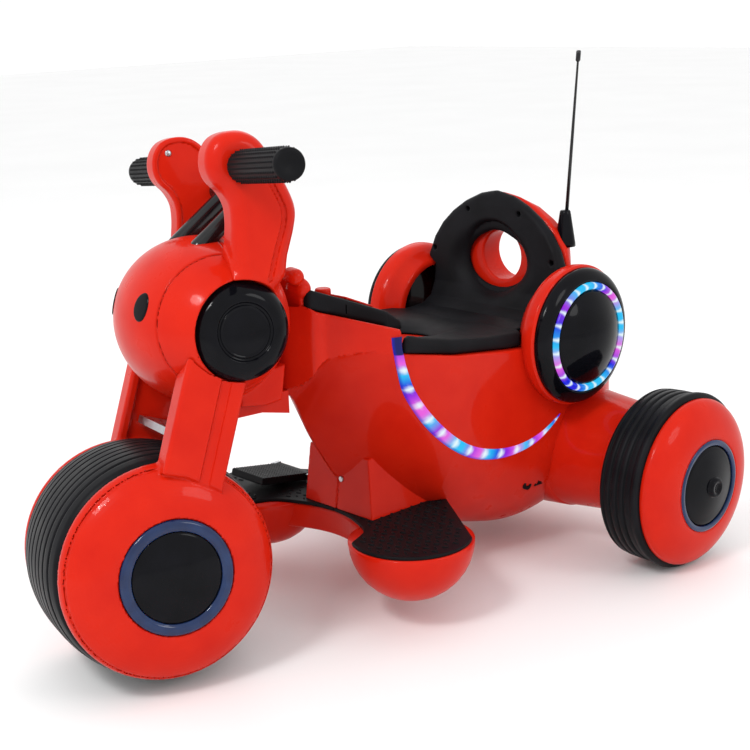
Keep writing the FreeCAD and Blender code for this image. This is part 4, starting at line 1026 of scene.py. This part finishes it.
def flank(y, z, out, side):
    """Points on the body's flank at y and z, moved outwards."""
    half, start, low = (hull_sizes(y, column) for column in (1, 2, 3))
    power = np.interp(y, BOW_Y, BOW_POWER)
    drop = np.clip((start - z) / (start - low), 0, 1)
    return np.stack([side * (half * (1 - drop ** power) ** (1 / power) + out), y, z], axis=1)


def axle_housings():
    """Tapered housings between the body and the rear wheels, with a moulded step near the body."""
    profile = rounded([(70, 40, 0), (70, 81, 0), (104, 78, 0), (106, 76.2, 1), (197, 66.5, 3), (198, 60, 1),
                       (198, 36, 0), (190, 34, 0)])
    pieces = [turned(f"housing_{name}", profile, (0, 298, 120), side, "root", RED, False, 160)
              for name, side in SIDES]
    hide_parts("axle_housings")


# ---------------------------------------------------------------- foot deck

FOOT = (127, -31)
MAT_TOP = 101.1


def bowls():
    """Round bowls under the mats, and the curved bridge between them."""
    bottom, depth, widest = 28, 69.5, 70.5
    profile = [(bottom + depth * (1 - math.sqrt(1 - (radius / widest) ** 2)), radius)
               for radius in (0, 12, 24, 35, 45, 54, 61, 66, 69, 70.2)]
    profile += [(96, 70.4), (97, 69.8), (97, 0)]
    made = []
    for name, side in SIDES:
        points, faces = lathe(profile, (0, 0, 0), 1, 160)
        spun = np.stack([points[:, 1] + side * FOOT[0], points[:, 2] + FOOT[1], points[:, 0]], axis=1)
        made.append(add_mesh(f"foot_bowl_{name}", spun, faces, "root", RED))
        weld(made[-1])
    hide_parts("foot_bowls")
    outline = curve([(-100, -82), (-80, -58), (-52, -42), (-26, -33), (0, -30), (26, -33), (52, -42),
                     (80, -58), (100, -82), (128, -60), (126, 0), (100, 50), (66, 84), (0, 86), (-66, 84),
                     (-100, 50), (-126, 0), (-128, -60)], per_span=4)
    middle, half = 81.5, 15.5

    def bridge(x, y, z):
        return slab(polygon(x, y, outline), z - middle, half, 4)

    piece = solid("deck_bridge_curved", bridge, (-134, -92, 64), (134, 92, 99), 2.4, "root", RED)
    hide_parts("deck_bridge")


def mats():
    """Black mats with rows of small raised dashes; they meet in front of the pedestal."""
    radius, thickness = 68, 4.2
    ring = [(FOOT[0] + radius * math.cos(angle), FOOT[1] + radius * math.sin(angle))
            for angle in np.linspace(math.radians(35), math.radians(-118), 40)]
    front = curve([(88, -74), (78, -57), (52, -43.5), (26, -35), (0, -32)], closed=False, per_span=5)
    outline = ring + [tuple(point) for point in front] + [(0, 83), (64, 86)]
    for name, side in SIDES:
        def field(x, y, z, side=side):
            return slab(polygon(side * x, y, outline), z - (MAT_TOP - 2), thickness / 2, 1)

        low, high = sorted((side * -3, side * 202))
        solid(f"foot_mat_{name}", field, (low, -100, 96), (high, 88, 102), 1.6, "root", GRIP)
        dashes(name, side, outline)
    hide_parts("foot_mats")


def dashes(name, side, outline):
    """Small raised dashes, each row turned the other way, clear of the pedal."""
    pitch, reach, width, height, margin = 13.0, 4.6, 1.5, 1.3, 7
    ring_steps, rings = 12, 3
    points, faces = [], []
    for row, y in enumerate(np.arange(-90, 80, pitch * 0.62)):
        for x in np.arange(6 + (row % 2) * pitch / 2, 196, pitch):
            under_pedal = side < 0 and 88 < x < 160 and -64 < y < 26
            if under_pedal or polygon(np.array([x]), np.array([y]), outline)[0] > -margin:
                continue
            tilt = 0.5 if row % 2 else -0.35
            start = len(points)
            points.append((side * x, y, MAT_TOP + height))
            for ring in range(1, rings + 1):
                share = ring / rings
                sunk = 0.4 if share == 1 else 0
                z = MAT_TOP + height * math.sqrt(max(1 - share ** 2, 0)) - sunk
                for step in range(ring_steps):
                    angle = 2 * math.pi * step / ring_steps
                    u, v = reach * share * math.cos(angle), width * share * math.sin(angle)
                    points.append((side * (x + u * math.cos(tilt) - v * math.sin(tilt)),
                                   y + u * math.sin(tilt) + v * math.cos(tilt), z))
            for step in range(ring_steps):
                after = (step + 1) % ring_steps
                face = (start, start + 1 + step, start + 1 + after)
                faces.append(face if side > 0 else face[::-1])
                for ring in range(rings - 1):
                    inner, outer = start + 1 + ring * ring_steps, start + 1 + (ring + 1) * ring_steps
                    face = (inner + step, outer + step, outer + after, inner + after)
                    faces.append(face if side > 0 else face[::-1])
            base = tuple(start + 1 + (rings - 1) * ring_steps + step for step in range(ring_steps))
            faces.append(base[::-1] if side > 0 else base)
    add_mesh(f"mat_dashes_{name}", points, faces, "root", GRIP)


def pedal():
    """The accelerator pedal: a bevelled plate with fine studs on its top."""
    lean = math.radians(9)
    pin_x, pin_y, pin_z = -124, 12, 107
    half_width, middle, half_length, half_height = 30, 34.5, 39.5, 4.6
    stud_height, stud_pitch = 0.7, 4.2

    def plate(x, y, z):
        ahead = (pin_y - y) * math.cos(lean) + (z - pin_z) * math.sin(lean)
        up = (z - pin_z) * math.cos(lean) - (pin_y - y) * math.sin(lean)
        rows = [np.maximum(np.cos(place * 2 * math.pi / stud_pitch), 0) for place in (x - pin_x, ahead)]
        studs = stud_height * rows[0] * rows[1]
        outline = np.maximum(np.abs(x - pin_x) - half_width, np.abs(ahead - middle) - half_length)
        block = slab(outline, up - 0.5, half_height, 1.8)
        return block - np.where((ahead > 4) & (up > 3), studs, 0)

    piece = solid("pedal_ribbed", plate, (-158, -64, 98), (-91, 20, 127), 1.1, "pedal", GRIP)
    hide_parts("accelerator_pedal")


def mast():
    """The thin mast, leaning back from its black foot."""
    x, y, hinge_z = 88, 283, 392
    lean = math.tan(math.radians(6.7))
    foot = [(374, 0), (374, 12.6), (378, 12.4), (412, 7.2), (416.5, 6.4), (417.8, 5.4), (418, 0)]
    whip = [(412, 0), (412, 2.3), (500, 1.9), (592, 1.3), (593, 2.2), (594, 2.9), (604, 2.9), (605.4, 2.2),
            (605.8, 0)]
    for name, profile, material, slope, node in (
            ("mast_foot", foot, GLOSS, 0, "antenna_base"), ("mast_whip", whip, TUBE, lean, "antenna_whip")):
        points, faces = lathe(profile, (0, 0, 0), 1, 40)
        back = y + points[:, 2] + slope * (points[:, 0] - hinge_z)
        spun = np.stack([x + points[:, 1], back, points[:, 0]], axis=1)
        piece = add_mesh(name, spun, faces, "root", material)
        weld(piece)
        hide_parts(node)


def screws():
    """Screws on the stalks' inner faces and at the foot of the body's front seam."""
    head = [(73.9, 0), (74.2, 2.4), (74.9, 3.6), (77, 3.6), (77, 0)]
    pieces = [turned(f"stalk_screw_{name}", head, (0, -191, 530), side, "steering", STEEL, True, 32)
              for name, side in SIDES]
    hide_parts("steering_fasteners")
    x_at, y_at, z_at, radius, half = 8, -25, 137, 3.4, 1.8

    def low_screw(x, y, z):
        return overlap(np.hypot(x - x_at, z - z_at) - radius, np.abs(y - y_at) - half, 0.8)

    piece = solid("pedestal_screw", low_screw, (3, -29, 132), (13, -21, 142), 0.6, "root", STEEL)
    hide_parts("body_screws")


# ---------------------------------------------------------------- build

camera()
studio()
dress_cad()

for build in (head, lamps, speakers, grips, handlebar, fork, front_tyre, rear_wheels, body, pedestal, neck,
              console, saddle, backrest, pods, led_strips, axle_housings, bowls, mats, pedal, mast, screws):
    build()
